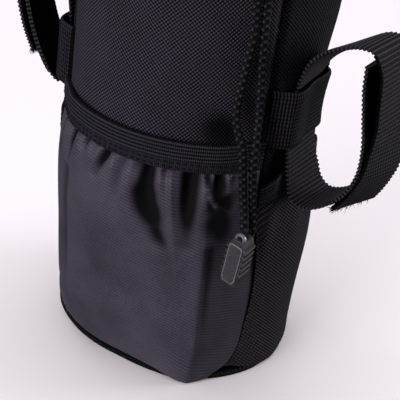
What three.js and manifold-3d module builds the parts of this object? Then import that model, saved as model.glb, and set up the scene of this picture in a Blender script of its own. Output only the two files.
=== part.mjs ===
// Soft cylindrical bottle pouch that straps to a handlebar, standing on its base.
// Millimetres and degrees. +Z is up, the front pocket faces -Y, and the origin is on the floor.
// Angles run round the body from the front (-Y) towards +X.

import * as THREE from 'three';
import Module from 'manifold-3d';
import { mergeVertices } from 'three/addons/utils/BufferGeometryUtils.js';

const { clamp, degToRad, lerp, smoothstep } = THREE.MathUtils;

// Driving dimensions
const GAP = 0.3; // clearance between neighbouring pieces
const BODY_RADIUS = 54.5; // outside of the padded wall above the pockets
const BODY_HEIGHT = 190; // floor to the top of the rim
const WALL = 4; // padded wall
const CLOTH = 1; // pocket nylon and mesh
const SEAM_ANGLE = 55.5; // side seams between front and back wall
const WALL_SEAM = 0.2; // half the angle left open at a side seam
const SLOUCH = 3.5; // the base stands this far to the right of the upper body
const SLOUCH_HEIGHT = 110; // height where the slouch has run out
const BASE_THICKNESS = 2.4;
const RIM_HEIGHT = 13.7;
const RIM_THICKNESS = 5.4;
const WEBBING_WIDTH = 25;
const WEBBING = 1.6; // keeper thickness
const STRAP = 1.8; // hook-and-loop webbing thickness
const STRAP_ANGLE = 80; // both strap rings stand in a radial plane at this angle
const KEEPER_Z = 111; // lower edge of the keepers
const BAND_LOW = 101.3; // elastic band of the front pocket
const BAND_HIGH = 114.3;
const BAND = 1.5; // thickness of the elastic without its ribs
const BAND_RIB = 0.4; // height of a rib
const BAND_RIBS = 5;
const BAND_STITCHED = 0.4; // share of the band below the ribs, where the stitches run
const BAND_STAND = { middle: 1.7, end: 0.2 }; // gap between the wall and the band
const SIDE_HEM = 4.5; // lower edge of the mesh pockets
const HEM_BLEND = 26; // up to this height the pockets follow the outline of the base
const HEM_LIP = 0.4; // front hem outside the base's edge, mesh hem inside it
const SEAM_STEP = 0.8; // angle between the front pocket's edge and the mesh
const SIDE_BACK = 118; // angle where the mesh pockets end at the back
const CORD_DIAMETER = 3.4;

// The wall's hollows: how deep, where, and how wide
const BASE_ROUND = { depth: 3.5, height: 14 };
const FRONT_FLAT = { depth: 3, angle: -6, width: 26, height: 95 };
const STRAP_WAIST = { depth: 4.6, angle: 95, front: 24, back: 23, z: 120, above: 27, below: 22 };
const SIDE_TAPER = { depth: 3, from: 45, to: 85, height: 70 };

// Outline of the bottom edge, round the axis of the base
const BASE_EDGE = [
  { angle: -180, radius: 51.5 },
  { angle: -110, radius: 52 },
  { angle: -64, radius: 54 },
  { angle: -36, radius: 52.2 },
  { angle: -5, radius: 51 },
  { angle: 16, radius: 54 },
  { angle: 30, radius: 57.4 },
  { angle: 45, radius: 57.2 },
  { angle: 61, radius: 56.8 },
  { angle: 75, radius: 55.4 },
  { angle: 92, radius: 53 },
  { angle: 115, radius: 51.7 },
  { angle: 180, radius: 51.5 },
];

// Front pocket from hem to elastic: half span, stand-off from the wall, how far its two box corners
// stick out, and the angle of the right corner's crease
const POCKET = [
  { z: 4.2, seam: 41, lift: 1.6, left: 0, right: 0, crease: 33.4 },
  { z: 9, seam: 49.5, lift: 1.8, left: 1.6, right: 6.4, crease: 33.2 },
  { z: 20, seam: 55.5, lift: 2.2, left: 3.4, right: 6.6, crease: 33 },
  { z: 45, seam: 58.5, lift: 3, left: 3.8, right: 6, crease: 33.2 },
  { z: 68, seam: 57, lift: 4.4, left: 2.6, right: 4.8, crease: 33.4 },
  { z: 84, seam: 56, lift: 5, left: 1, right: 3, crease: 33 },
  { z: 95, seam: SEAM_ANGLE, lift: 4.4, left: 0.2, right: 1.2, crease: 32 },
  { z: 101, seam: SEAM_ANGLE, lift: 3, left: 0, right: 0, crease: 31 },
];
const POCKET_HUG = 8; // power that brings the pocket down to the wall at its side seams
// Corners: the left crease, where the bulges start, where they end, and the powers of their two flanks
const CORNER = { left: -28, middle: 3, limit: 58, inner: 2.4, outer: 2 };
// Where the hem hangs over the base
const CORNER_HEM = { angle: 32, width: 13, drop: 3.6, fall: 9, out: 2.4, height: 18 };

// Gathers of the front pocket: valleys that run down from the elastic, drifting by degrees per millimetre
const GATHERS = [
  { angle: -47, depth: 1.8, width: 3.5, drift: 0.1, reach: 22 },
  { angle: -34, depth: 2.8, width: 3.2, drift: 0.15, reach: 22 },
  { angle: -9, depth: 2.2, width: 3, drift: -0.4, reach: 26 },
  { angle: 9.3, depth: 3.8, width: 4, drift: 0.18, reach: 46 },
  { angle: 23.9, depth: 3.8, width: 3.4, drift: 0.05, reach: 46 },
  { angle: 33.5, depth: 2.8, width: 3, drift: 0.15, reach: 20 },
  { angle: 42, depth: 2.4, width: 3.2, drift: 0.1, reach: 18 },
];
const GATHER_RISE = [-4, 10]; // the valleys grow to full depth over these distances below the elastic

// Mouth of a side pocket: lower and upper edge of its elastic, and how far it gapes
const SIDE_MOUTH = [
  { angle: 57, low: 84.5, high: 92.5, gape: 0 },
  { angle: 62, low: 87, high: 97, gape: 2.6 },
  { angle: 68, low: 89, high: 99, gape: 0.8 },
  { angle: 80, low: 89.5, high: 99.5, gape: 0 },
  { angle: 100, low: 89, high: 98.5, gape: 0.5 },
  { angle: 118, low: 86, high: 95, gape: 0 },
];
// Outside of the mesh over the wall: close at the hem and the mouth, standing off between these heights
const SIDE_BULGE = { close: 1.3, full: 2.2, rise: [20, 55], fall: [50, 88] };
const SIDE_BAND = 1; // thickness of the side elastic
const SIDE_COLUMNS = 15;
const GAPE = { right: 1, left: 0.35 }; // share of the gape on each side

// Keeper: free height over the wall along its arc
const KEEPER = [
  { angle: 56, lift: 0 },
  { angle: 61, lift: 0 },
  { angle: 63.6, lift: 0.4 },
  { angle: 66, lift: 4.4 },
  { angle: 80, lift: 2.8 },
  { angle: 94, lift: 3.7 },
  { angle: 100, lift: 0 },
  { angle: 107, lift: 0 },
];

// Strap rings from the inner end round to the free end: distance from the axis, height and twist
const STRAP_RIGHT = [
  { reach: 81.4, z: 155, twist: -4 },
  { reach: 82.9, z: 146, twist: 0 },
  { reach: 85.2, z: 134, twist: 0 },
  { reach: 87.4, z: 122, twist: 0 },
  { reach: 87.2, z: 110, twist: 0 },
  { reach: 83.6, z: 100.5, twist: 0 },
  { reach: 77.4, z: 93, twist: 0 },
  { reach: 70.5, z: 87.8, twist: 0 },
  { reach: 64.6, z: 86.2, twist: 0 },
  { reach: 60, z: 88.8, twist: 0 },
  { reach: 57.4, z: 95, twist: 2 },
  { reach: 54.9, z: 102.5, twist: 6 },
  { reach: 52.9, z: 111, twist: 9 },
  { reach: 52.3, z: 122, twist: 10 },
  { reach: 52.9, z: 134, twist: 9 },
  { reach: 55.4, z: 142, twist: 4 },
  { reach: 59.6, z: 148.6, twist: -4 },
  { reach: 65.6, z: 153.8, twist: -7 },
  { reach: 71.6, z: 157.9, twist: -4 },
  { reach: 78.2, z: 161.2, twist: -1 },
  { reach: 84.6, z: 161.2, twist: 0 },
  { reach: 88.8, z: 154, twist: -2 },
  { reach: 90.4, z: 142, twist: -2 },
  { reach: 91.8, z: 132, twist: 0 },
  { reach: 92.2, z: 121, twist: 6 },
  { reach: 91.2, z: 109.5, twist: 9 },
  { reach: 89.2, z: 103.5, twist: 10 },
  { reach: 86.6, z: 97.5, twist: 12 },
  { reach: 82.6, z: 91, twist: 16 },
];
const STRAP_LEFT = [
  { reach: 77.6, z: 167, twist: 0 },
  { reach: 77.8, z: 158, twist: 0 },
  { reach: 76.6, z: 148, twist: 0 },
  { reach: 74.4, z: 138.5, twist: 0 },
  { reach: 71.2, z: 127, twist: 0 },
  { reach: 67, z: 116.5, twist: 0 },
  { reach: 62.6, z: 109, twist: 0 },
  { reach: 58.2, z: 105.2, twist: 2 },
  { reach: 54.4, z: 107.6, twist: 6 },
  { reach: 52.6, z: 113, twist: 9 },
  { reach: 52.3, z: 122, twist: 10 },
  { reach: 52.9, z: 134, twist: 9 },
  { reach: 54.8, z: 143, twist: 5 },
  { reach: 57.4, z: 152, twist: 2 },
  { reach: 59.4, z: 161, twist: 0 },
  { reach: 62.8, z: 169, twist: 0 },
  { reach: 68.2, z: 175, twist: 0 },
  { reach: 74.4, z: 176.4, twist: 0 },
  { reach: 79.4, z: 172.8, twist: 0 },
  { reach: 81.6, z: 165, twist: 0 },
  { reach: 81.4, z: 154, twist: 0 },
  { reach: 79.6, z: 143, twist: 0 },
  { reach: 76.8, z: 131.5, twist: 0 },
  { reach: 73.8, z: 121.5, twist: 0 },
  { reach: 71, z: 114, twist: 0 },
];
const STRAP_STEPS = 52;

// Drawstring strands from the rim down to the cord end
const STRAND_LEFT = [
  { angle: 41.2, radius: 57.4, z: 183 },
  { angle: 41.3, radius: 58, z: 180 },
  { angle: 41.4, radius: 57.4, z: 175 },
  { angle: 42, radius: 57, z: 169.5 },
  { angle: 42.3, radius: 57, z: 160 },
  { angle: 41.2, radius: 57, z: 149.6 },
  { angle: 40.3, radius: 57.3, z: 139 },
  { angle: 39.7, radius: 57.8, z: 133.8 },
  { angle: 39.8, radius: 58.8, z: 126.2 },
  { angle: 41.2, radius: 60.2, z: 121 },
  { angle: 42.8, radius: 61.2, z: 116 },
  { angle: 44, radius: 61.7, z: 108 },
  { angle: 45.3, radius: 62.1, z: 97 },
  { angle: 46.2, radius: 63.4, z: 88 },
  { angle: 46.2, radius: 65.8, z: 80.6 },
];
const STRAND_RIGHT = [
  { angle: 45.6, radius: 57.4, z: 183 },
  { angle: 45.6, radius: 58, z: 180 },
  { angle: 45.7, radius: 57.4, z: 175 },
  { angle: 46.1, radius: 57, z: 169.5 },
  { angle: 46.7, radius: 57, z: 160 },
  { angle: 47.5, radius: 57, z: 149.4 },
  { angle: 48.6, radius: 57.3, z: 138.9 },
  { angle: 49.1, radius: 58, z: 128 },
  { angle: 48.6, radius: 59.6, z: 122 },
  { angle: 48.2, radius: 60.8, z: 117 },
  { angle: 48.1, radius: 61.4, z: 111 },
  { angle: 48.7, radius: 61.8, z: 102 },
  { angle: 49.7, radius: 62.3, z: 92 },
  { angle: 50.4, radius: 62.7, z: 85 },
  { angle: 50.6, radius: 63.2, z: 78.6 },
  { angle: 50.6, radius: 63.2, z: 76.4 },
];
const STRAND_STEPS = 18;
const STRAND_SIDES = 8;

// Cord end: a ribbed plastic clip with a ring at its top, hanging with its face turned to the front
const PULL = {
  angle: 46,
  radius: 66.8,
  top: 80,
  facing: -14,
  tilt: 3,
  lean: 5,
  length: 23.6,
  width: 9.8,
  depth: 6,
  ringRadius: 2.6,
  ringHole: 1.3,
  ribs: 5,
  ribFoot: 5,
  notch: 1.1,
  plate: 0.8,
};

// Colours of the materials
const COLOURS = {
  weave: { color: 0x232228, roughness: 0.85 },
  nylon: { color: 0x3d3a41, roughness: 0.5 },
  mesh: { color: 0x1d1b1e, roughness: 0.8 },
  elastic: { color: 0x2c2a31, roughness: 0.75 },
  webbing: { color: 0x1b191c, roughness: 0.8 },
  cord: { color: 0x16151b, roughness: 0.85 },
  plastic: { color: 0x55525a, roughness: 0.35 },
};

const wasm = await Module();
wasm.setup();

// A value between the rows of a table, smooth at the rows
function along(table, key, at, column) {
  const last = table.length - 1;
  const next = clamp(table.findIndex((row) => row[key] >= at), 1, last);
  const index = at > table[last][key] ? last : next;
  const from = table[index - 1];
  const to = table[index];
  return lerp(from[column], to[column], smoothstep(at, from[key], to[key]));
}

function bell(offset, width) {
  return Math.exp(-((offset / width) ** 2));
}

function turn(angle) {
  return ((angle + 540) % 360) - 180;
}

// How far the body's axis stands to the right at a height
function slouch(z) {
  return SLOUCH * (1 - smoothstep(z, 0, SLOUCH_HEIGHT));
}

function polar(angle, radius, z) {
  const a = degToRad(angle);
  return new THREE.Vector3(radius * Math.sin(a) + slouch(z), -radius * Math.cos(a), z);
}

// Outside of the padded wall
function wallRadius(angle, z) {
  const side = turn(angle);
  const round = BASE_ROUND.depth * Math.max(0, 1 - z / BASE_ROUND.height) ** 2;
  const flat = FRONT_FLAT.depth * bell(side - FRONT_FLAT.angle, FRONT_FLAT.width)
    * (1 - smoothstep(z, 0, FRONT_FLAT.height));
  const behind = Math.abs(side) - STRAP_WAIST.angle;
  const above = z - STRAP_WAIST.z;
  const ahead = Math.exp(-((behind / STRAP_WAIST.front) ** 4));
  const waist = STRAP_WAIST.depth * (behind > 0 ? bell(behind, STRAP_WAIST.back) : ahead)
    * bell(above, above > 0 ? STRAP_WAIST.above : STRAP_WAIST.below);
  const taper = SIDE_TAPER.depth * smoothstep(Math.abs(side), SIDE_TAPER.from, SIDE_TAPER.to)
    * (1 - smoothstep(z, 0, SIDE_TAPER.height));
  return BODY_RADIUS - round - flat - waist - taper;
}

// Bulge of the front pocket's two box corners
function cornerBulge(angle, z) {
  const onRight = angle > CORNER.middle;
  const corner = onRight ? along(POCKET, 'z', z, 'crease') : CORNER.left;
  const limit = onRight ? CORNER.limit : -CORNER.limit;
  const size = along(POCKET, 'z', z, onRight ? 'right' : 'left');
  const inner = (angle - CORNER.middle) / (corner - CORNER.middle);
  const outer = clamp((limit - angle) / (limit - corner), 0, 1);
  return size * (inner < 1 ? inner ** CORNER.inner : outer ** CORNER.outer);
}

function gatherDepth(angle, z) {
  const below = BAND_LOW - z;
  let depth = 0;
  for (const fold of GATHERS) {
    const middle = fold.angle + fold.drift * below;
    const rise = smoothstep(below, ...GATHER_RISE);
    const fall = smoothstep(below, fold.reach / 2, fold.reach);
    depth += fold.depth * rise * (1 - fall) * bell(angle - middle, fold.width);
  }
  return depth;
}

// How far the hem hangs down at the right corner
function hemDrop(angle, z) {
  const fade = 1 - smoothstep(z, POCKET[0].z, CORNER_HEM.height);
  return CORNER_HEM.drop * fade * Math.exp(-Math.abs(angle - CORNER_HEM.angle) / CORNER_HEM.fall);
}

// Outside of the front pocket at a share (-1 to 1) of its span
function pocketRadius(angle, share, z) {
  const wall = wallRadius(angle, z);
  const sewn = wall + CLOTH + GAP;
  const lift = along(POCKET, 'z', z, 'lift');
  const free = wall + lift + cornerBulge(angle, z) - gatherDepth(angle, z);
  const full = lerp(free, sewn, Math.abs(share) ** POCKET_HUG);
  const hem = along(BASE_EDGE, 'angle', angle, 'radius') + HEM_LIP
    + CORNER_HEM.out * bell(angle - CORNER_HEM.angle, CORNER_HEM.width);
  return Math.max(sewn, lerp(hem, full, smoothstep(z, POCKET[0].z, HEM_BLEND)));
}

function sidePocketRadius(angle, z, side, gapeShare) {
  const wall = wallRadius(angle, z);
  const mouth = smoothstep(z, ...SIDE_BULGE.fall);
  const gape = along(SIDE_MOUTH, 'angle', angle, 'gape') * gapeShare * mouth;
  const away = smoothstep(z, ...SIDE_BULGE.rise) * (1 - mouth);
  const bulge = lerp(SIDE_BULGE.close, SIDE_BULGE.full, away);
  const hem = along(BASE_EDGE, 'angle', side * angle, 'radius') - HEM_LIP;
  const free = lerp(hem, wall + bulge, smoothstep(z, SIDE_HEM, HEM_BLEND));
  return Math.max(wall + CLOTH + GAP, free) + gape;
}

// Numbers from first to last in equal steps
function steps(first, last, count) {
  return Array.from({ length: count + 1 }, (_, i) => lerp(first, last, i / count));
}

// A closed solid from like sections, one for each station. A section is a loop of 3-D points, and caps holds
// the triangles that close the first and the last loop. A ring has no caps.
function loft(sections, caps) {
  const size = sections[0].length;
  const count = sections.length;
  const ring = caps === null;
  const index = [];
  for (let k = 0; k < (ring ? count : count - 1); k += 1) {
    for (let j = 0; j < size; j += 1) {
      const here = k * size;
      const next = ((k + 1) % count) * size;
      const up = (j + 1) % size;
      index.push(here + j, next + j, next + up, here + j, next + up, here + up);
    }
  }
  const last = (count - 1) * size;
  for (const [a, b, c] of caps ?? []) {
    index.push(a, b, c, last + a, last + c, last + b);
  }
  const geometry = new THREE.BufferGeometry();
  geometry.setFromPoints(sections.flat());
  geometry.setIndex(index);
  return facingOut(geometry);
}

// Caps of a flat loop
function flatCaps(outline) {
  return THREE.ShapeUtils.triangulateShape(outline, []).map(([a, b, c]) => {
    const area = (outline[b].x - outline[a].x) * (outline[c].y - outline[a].y)
      - (outline[c].x - outline[a].x) * (outline[b].y - outline[a].y);
    return area > 0 ? [a, b, c] : [a, c, b];
  });
}

// Caps of a loop that runs up one face of a sheet and down the other, across the sheet's thickness
function sheetCaps(rows) {
  const caps = [];
  for (let j = 0; j < rows - 1; j += 1) {
    const across = 2 * rows - 1 - j;
    caps.push([j, j + 1, across - 1], [j, across - 1, across]);
  }
  return caps;
}

// Loop round a sheet's section: up its outer face and down its inner one
function sheetLoop(shares, thickness) {
  const up = shares.map((share) => new THREE.Vector2(thickness, share));
  const down = shares.map((share) => new THREE.Vector2(0, share)).reverse();
  return [...up, ...down];
}

// Turns all faces over where the solid is inside out
function facingOut(geometry) {
  const place = geometry.getAttribute('position');
  const index = geometry.getIndex();
  const [a, b, c] = [new THREE.Vector3(), new THREE.Vector3(), new THREE.Vector3()];
  let volume = 0;
  for (let i = 0; i < index.count; i += 3) {
    a.fromBufferAttribute(place, index.getX(i));
    b.fromBufferAttribute(place, index.getX(i + 1));
    c.fromBufferAttribute(place, index.getX(i + 2));
    volume += a.dot(b.cross(c));
  }
  if (volume < 0) {
    for (let i = 0; i < index.count; i += 3) {
      const second = index.getX(i + 1);
      index.setX(i + 1, index.getX(i + 2));
      index.setX(i + 2, second);
    }
  }
  geometry.computeVertexNormals();
  return geometry;
}

const BASE_COLUMNS = 60;

function makeBase() {
  const shape = new THREE.Shape();
  const bevel = BASE_THICKNESS / 3;
  steps(-180, 180, BASE_COLUMNS).slice(0, -1).forEach((angle, i) => {
    const place = polar(angle, along(BASE_EDGE, 'angle', angle, 'radius'), 0);
    if (i === 0) shape.moveTo(place.x, place.y);
    else shape.lineTo(place.x, place.y);
  });
  shape.closePath();
  const geometry = new THREE.ExtrudeGeometry(shape, {
    depth: BASE_THICKNESS - 2 * bevel,
    bevelThickness: bevel,
    bevelSize: bevel,
    bevelOffset: -bevel,
    bevelSegments: 2,
    steps: 1,
  });
  return geometry.translate(0, 0, bevel);
}

const WALL_LOW = BASE_THICKNESS + GAP;
const WALL_HIGH = BODY_HEIGHT - RIM_HEIGHT - GAP;
const FRONT_EDGE = SEAM_ANGLE - WALL_SEAM;
const BACK_EDGE = SEAM_ANGLE + WALL_SEAM;
const FRONT_COLUMNS = 16;
const BACK_COLUMNS = 32;
const WALL_ROWS = [WALL_LOW, 8, 14, 30, 48, 66, 80, 90, 100, 112, 124, 136, 152, WALL_HIGH];

function makeWall(first, last, columns) {
  const outline = sheetLoop(WALL_ROWS, WALL);
  const sections = steps(first, last, columns).map((angle) => outline.map((point) => (
    polar(angle, wallRadius(angle, point.y) - WALL + point.x, point.y)
  )));
  return loft(sections, sheetCaps(WALL_ROWS.length));
}

// The hem is a flattened tube: rounded at its upper and lower edge. Shares of its thickness and half height
const RIM_SECTION = [
  { across: -0.3, up: -1 },
  { across: 0.3, up: -1 },
  { across: 0.48, up: -0.75 },
  { across: 0.5, up: 0 },
  { across: 0.46, up: 0.75 },
  { across: 0.2, up: 1 },
  { across: -0.2, up: 1 },
  { across: -0.46, up: 0.75 },
  { across: -0.5, up: 0 },
  { across: -0.48, up: -0.75 },
];
const RIM_COLUMNS = 44;

function makeRim() {
  const middle = BODY_HEIGHT - RIM_HEIGHT / 2;
  const half = RIM_HEIGHT / 2;
  const outline = RIM_SECTION.map(({ across, up }) => (
    new THREE.Vector2(across * RIM_THICKNESS, up * half)
  ));
  const sections = steps(0, 360, RIM_COLUMNS).slice(0, -1).map((angle) => (
    outline.map((point) => polar(angle, BODY_RADIUS - WALL / 2 + point.x, middle + point.y))
  ));
  return loft(sections, null);
}

const POCKET_COLUMNS = 44;
const POCKET_ROWS = [POCKET[0].z, 5, 8, 12, 18, 28, 44, 58, 70, 79, 87, 94, POCKET.at(-1).z];

function makeFrontPocket() {
  const outline = sheetLoop(POCKET_ROWS, CLOTH);
  const sections = steps(-1, 1, POCKET_COLUMNS).map((share) => outline.map((point) => {
    const angle = share * along(POCKET, 'z', point.y, 'seam');
    const place = polar(angle, pocketRadius(angle, share, point.y) - CLOTH + point.x, point.y);
    return place.setZ(place.z - hemDrop(angle, point.y));
  }));
  return loft(sections, sheetCaps(POCKET_ROWS.length));
}

const BAND_COLUMNS = 26;
const BAND_HUG = [0.62, 0.86]; // between these shares of its half span the band comes down to the wall

// Elastic band: ribs along its upper part, a flat strip for the stitches below them
function makeFrontElastic() {
  const height = BAND_HIGH - BAND_LOW;
  const ribStep = (1 - BAND_STITCHED) / BAND_RIBS;
  const outline = [[0, 0], [BAND, 0], [BAND, BAND_STITCHED]].map(([x, y]) => new THREE.Vector2(x, y));
  for (let i = 0; i < BAND_RIBS; i += 1) {
    const foot = BAND_STITCHED + i * ribStep;
    outline.push(new THREE.Vector2(BAND + BAND_RIB, foot + ribStep / 2));
    outline.push(new THREE.Vector2(BAND, foot + ribStep));
  }
  outline.push(new THREE.Vector2(0, 1));
  const sections = steps(-1, 1, BAND_COLUMNS).map((share) => outline.map((point) => {
    const angle = share * SEAM_ANGLE;
    const z = BAND_LOW + point.y * height;
    const stand = lerp(BAND_STAND.middle, BAND_STAND.end, smoothstep(Math.abs(share), ...BAND_HUG));
    return polar(angle, wallRadius(angle, z) + stand + point.x, z);
  }));
  return loft(sections, flatCaps(outline));
}

// Start of a side pocket, just behind the front pocket's side seam
function sidePocketStart(z) {
  return along(POCKET, 'z', z, 'seam') + SEAM_STEP;
}

// Shares of the mesh pocket's height, closer together at the hem and the mouth
const SIDE_ROWS = [0, 0.04, 0.08, 0.12, 0.17, 0.25, 0.4, 0.55, 0.7, 0.82, 0.91, 1];

function makeSidePocket(side, gapeShare) {
  const outline = sheetLoop(SIDE_ROWS, CLOTH);
  const sections = steps(0, 1, SIDE_COLUMNS).map((across) => outline.map((point) => {
    const rough = lerp(SIDE_MOUTH[0].angle, SIDE_BACK, across);
    const top = along(SIDE_MOUTH, 'angle', rough, 'low') - GAP;
    const z = lerp(SIDE_HEM, top, point.y);
    const angle = lerp(sidePocketStart(z), SIDE_BACK, across);
    return polar(side * angle, sidePocketRadius(angle, z, side, gapeShare) - CLOTH + point.x, z);
  }));
  return loft(sections, sheetCaps(SIDE_ROWS.length));
}

// Section of the side elastic with its two ribs: shares of its thickness and height
const SIDE_BAND_SECTION = [[0, 0], [1, 0], [1.3, 0.25], [1, 0.5], [1.3, 0.75], [1, 1], [0, 1]];

function makeSideElastic(side, gapeShare) {
  const outline = SIDE_BAND_SECTION.map(([across, up]) => new THREE.Vector2(across * SIDE_BAND, up));
  const angles = steps(SIDE_MOUTH[0].angle, SIDE_BACK, SIDE_COLUMNS);
  const sections = angles.map((angle) => outline.map((point) => {
    const low = along(SIDE_MOUTH, 'angle', angle, 'low');
    const high = along(SIDE_MOUTH, 'angle', angle, 'high');
    const z = lerp(low, high, point.y);
    const gape = along(SIDE_MOUTH, 'angle', angle, 'gape') * gapeShare;
    const inside = wallRadius(angle, z) + GAP + gape;
    return polar(side * angle, inside + point.x, z);
  }));
  return loft(sections, flatCaps(outline));
}

const KEEPER_ROWS = [0, 0.5, 1];
const KEEPER_COLUMNS = 20;

function makeKeeper(side) {
  const outline = sheetLoop(KEEPER_ROWS, WEBBING);
  const first = KEEPER[0].angle;
  const last = KEEPER.at(-1).angle;
  const sections = steps(first, last, KEEPER_COLUMNS).map((angle) => outline.map((point) => {
    const z = KEEPER_Z + point.y * WEBBING_WIDTH;
    const inside = wallRadius(angle, z) + GAP + along(KEEPER, 'angle', angle, 'lift');
    return polar(side * angle, inside + point.x, z);
  }));
  return loft(sections, sheetCaps(KEEPER_ROWS.length));
}

// A strap runs along a curve in a radial plane. The twist turns its width about the curve.
function makeStrap(table, side) {
  const angle = degToRad(side * STRAP_ANGLE);
  const outward = new THREE.Vector3(Math.sin(angle), -Math.cos(angle), 0);
  const across = new THREE.Vector3(Math.cos(angle), Math.sin(angle), 0).multiplyScalar(side);
  const points = table.map((row) => outward.clone().multiplyScalar(row.reach).setZ(row.z));
  const curve = new THREE.CatmullRomCurve3(points, false, 'centripetal');
  const half = WEBBING_WIDTH / 2;
  const outline = [[-half, -1], [half, -1], [half, 1], [-half, 1]]
    .map(([x, y]) => new THREE.Vector2(x, y * STRAP / 2));
  const sections = steps(0, 1, STRAP_STEPS).map((t) => {
    const row = t * (table.length - 1);
    const before = Math.min(Math.floor(row), table.length - 2);
    const twist = side * degToRad(lerp(table[before].twist, table[before + 1].twist, row - before));
    const along3 = curve.getTangent(t);
    const normal = new THREE.Vector3().crossVectors(across, along3).normalize();
    const wide = across.clone().applyAxisAngle(along3, twist);
    const thick = normal.applyAxisAngle(along3, twist);
    const middle = curve.getPoint(t);
    return outline.map((point) => (
      middle.clone().addScaledVector(wide, point.x).addScaledVector(thick, point.y)
    ));
  });
  return loft(sections, flatCaps(outline));
}

function makeStrand(table) {
  const curve = new THREE.CatmullRomCurve3(table.map((row) => polar(row.angle, row.radius, row.z)));
  const shape = new THREE.Shape();
  for (let i = 0; i < STRAND_SIDES; i += 1) {
    const a = (2 * Math.PI * i) / STRAND_SIDES;
    const x = (CORD_DIAMETER / 2) * Math.cos(a);
    const y = (CORD_DIAMETER / 2) * Math.sin(a);
    if (i === 0) shape.moveTo(x, y);
    else shape.lineTo(x, y);
  }
  shape.closePath();
  return new THREE.ExtrudeGeometry(shape, { steps: STRAND_STEPS, extrudePath: curve });
}

// A closed geometry as a solid for joining
function solidOf(geometry) {
  const bare = geometry.clone();
  bare.deleteAttribute('normal');
  bare.deleteAttribute('uv');
  const merged = mergeVertices(bare, 1e-4);
  return new wasm.Manifold(new wasm.Mesh({
    numProp: 3,
    vertProperties: Float32Array.from(merged.getAttribute('position').array),
    triVerts: Uint32Array.from(merged.getIndex().array),
  }));
}

function geometryOf(solid) {
  const mesh = solid.getMesh();
  const place = new THREE.BufferAttribute(Float32Array.from(mesh.vertProperties), 3);
  const geometry = new THREE.BufferGeometry();
  geometry.setAttribute('position', place);
  geometry.setIndex(new THREE.BufferAttribute(Uint32Array.from(mesh.triVerts), 1));
  return geometry;
}

// Right half of the clip's outline, hanging down from the origin: chamfered foot, rib notches and shoulder
function pullSide() {
  const half = PULL.width / 2;
  const inside = half - PULL.notch;
  const shoulder = -2 * PULL.ringRadius;
  const foot = -PULL.length;
  const ribStart = foot + PULL.ribFoot;
  const pitch = (shoulder - PULL.notch - ribStart) / PULL.ribs;
  const points = [[half * 0.5, foot], [half * 0.85, foot + 1.5 * PULL.notch]];
  for (let i = 0; i < PULL.ribs; i += 1) {
    const low = ribStart + i * pitch;
    points.push([inside, low], [half, low + pitch * 0.35], [half, low + pitch * 0.6]);
  }
  points.push([inside, shoulder - PULL.notch], [PULL.ringRadius, shoulder + PULL.notch]);
  return points;
}

// Flat raised plate on the clip's face
function pullPlate() {
  const half = PULL.width / 2 - PULL.notch - PULL.plate / 2;
  const low = -PULL.length + 1.5 * PULL.plate;
  const high = -2 * PULL.ringRadius - 2 * PULL.plate;
  const right = [[half * 0.7, low], [half, low + 2 * PULL.plate], [half, high]];
  return [...right, ...mirrored(right)];
}

function mirrored(points) {
  return points.map(([x, y]) => [-x, y]).reverse();
}

function shapeOf(points) {
  return new THREE.Shape(points.map(([x, y]) => new THREE.Vector2(x, y)));
}

function makePull() {
  const right = pullSide();
  const ringTop = steps(-30, 210, 10).map(degToRad).map((a) => [
    PULL.ringRadius * Math.cos(a),
    PULL.ringRadius * (Math.sin(a) - 1),
  ]);
  const shape = shapeOf([...right, ...ringTop, ...mirrored(right)]);
  const hole = new THREE.Path();
  hole.absarc(0, -PULL.ringRadius, PULL.ringHole, 0, 2 * Math.PI, true);
  shape.holes.push(hole);
  const body = new THREE.ExtrudeGeometry(shape, {
    depth: PULL.depth,
    bevelEnabled: false,
    curveSegments: 10,
  });
  const plate = new THREE.ExtrudeGeometry(shapeOf(pullPlate()), {
    depth: 2 * PULL.plate,
    bevelEnabled: false,
  });
  plate.translate(0, 0, PULL.depth - PULL.plate);
  const joined = geometryOf(solidOf(body).add(solidOf(plate)));
  return joined.translate(0, 0, -PULL.depth / 2);
}

function piece(name, geometry, colour) {
  const material = new THREE.MeshStandardMaterial({ ...COLOURS[colour], metalness: 0 });
  const mesh = new THREE.Mesh(geometry, material);
  mesh.name = name;
  return mesh;
}

const pouch = new THREE.Group();

pouch.add(piece('base_panel', makeBase(), 'weave'));
pouch.add(piece('front_panel', makeWall(-FRONT_EDGE, FRONT_EDGE, FRONT_COLUMNS), 'weave'));
pouch.add(piece('back_panel', makeWall(BACK_EDGE, 360 - BACK_EDGE, BACK_COLUMNS), 'weave'));
pouch.add(piece('top_rim', makeRim(), 'weave'));
pouch.add(piece('front_pocket', makeFrontPocket(), 'nylon'));
pouch.add(piece('front_elastic', makeFrontElastic(), 'elastic'));

for (const [word, side, table] of [['right', 1, STRAP_RIGHT], ['left', -1, STRAP_LEFT]]) {
  pouch.add(piece(`side_pocket_${word}`, makeSidePocket(side, GAPE[word]), 'mesh'));
  pouch.add(piece(`side_elastic_${word}`, makeSideElastic(side, GAPE[word]), 'elastic'));
  pouch.add(piece(`keeper_${word}`, makeKeeper(side), 'webbing'));
  pouch.add(piece(`strap_${word}`, makeStrap(table, side), 'webbing'));
}

pouch.add(piece('cord_strand_left', makeStrand(STRAND_LEFT), 'cord'));
pouch.add(piece('cord_strand_right', makeStrand(STRAND_RIGHT), 'cord'));

// The cord end hangs from its ring, with its face turned to the front and a little tilt
const pull = piece('cord_pull', makePull(), 'plastic');
const hanger = new THREE.Group();
hanger.position.copy(polar(PULL.angle, PULL.radius, PULL.top));
hanger.rotation.set(Math.PI / 2, degToRad(PULL.facing), 0, 'ZXY');
pull.rotation.set(degToRad(-PULL.lean), 0, degToRad(-PULL.tilt));
hanger.add(pull);
pouch.add(hanger);

export default pouch;
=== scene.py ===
import math
from collections import namedtuple
from types import SimpleNamespace as Sizes

import bpy
import numpy as np
from mathutils import Matrix, Vector


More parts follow.
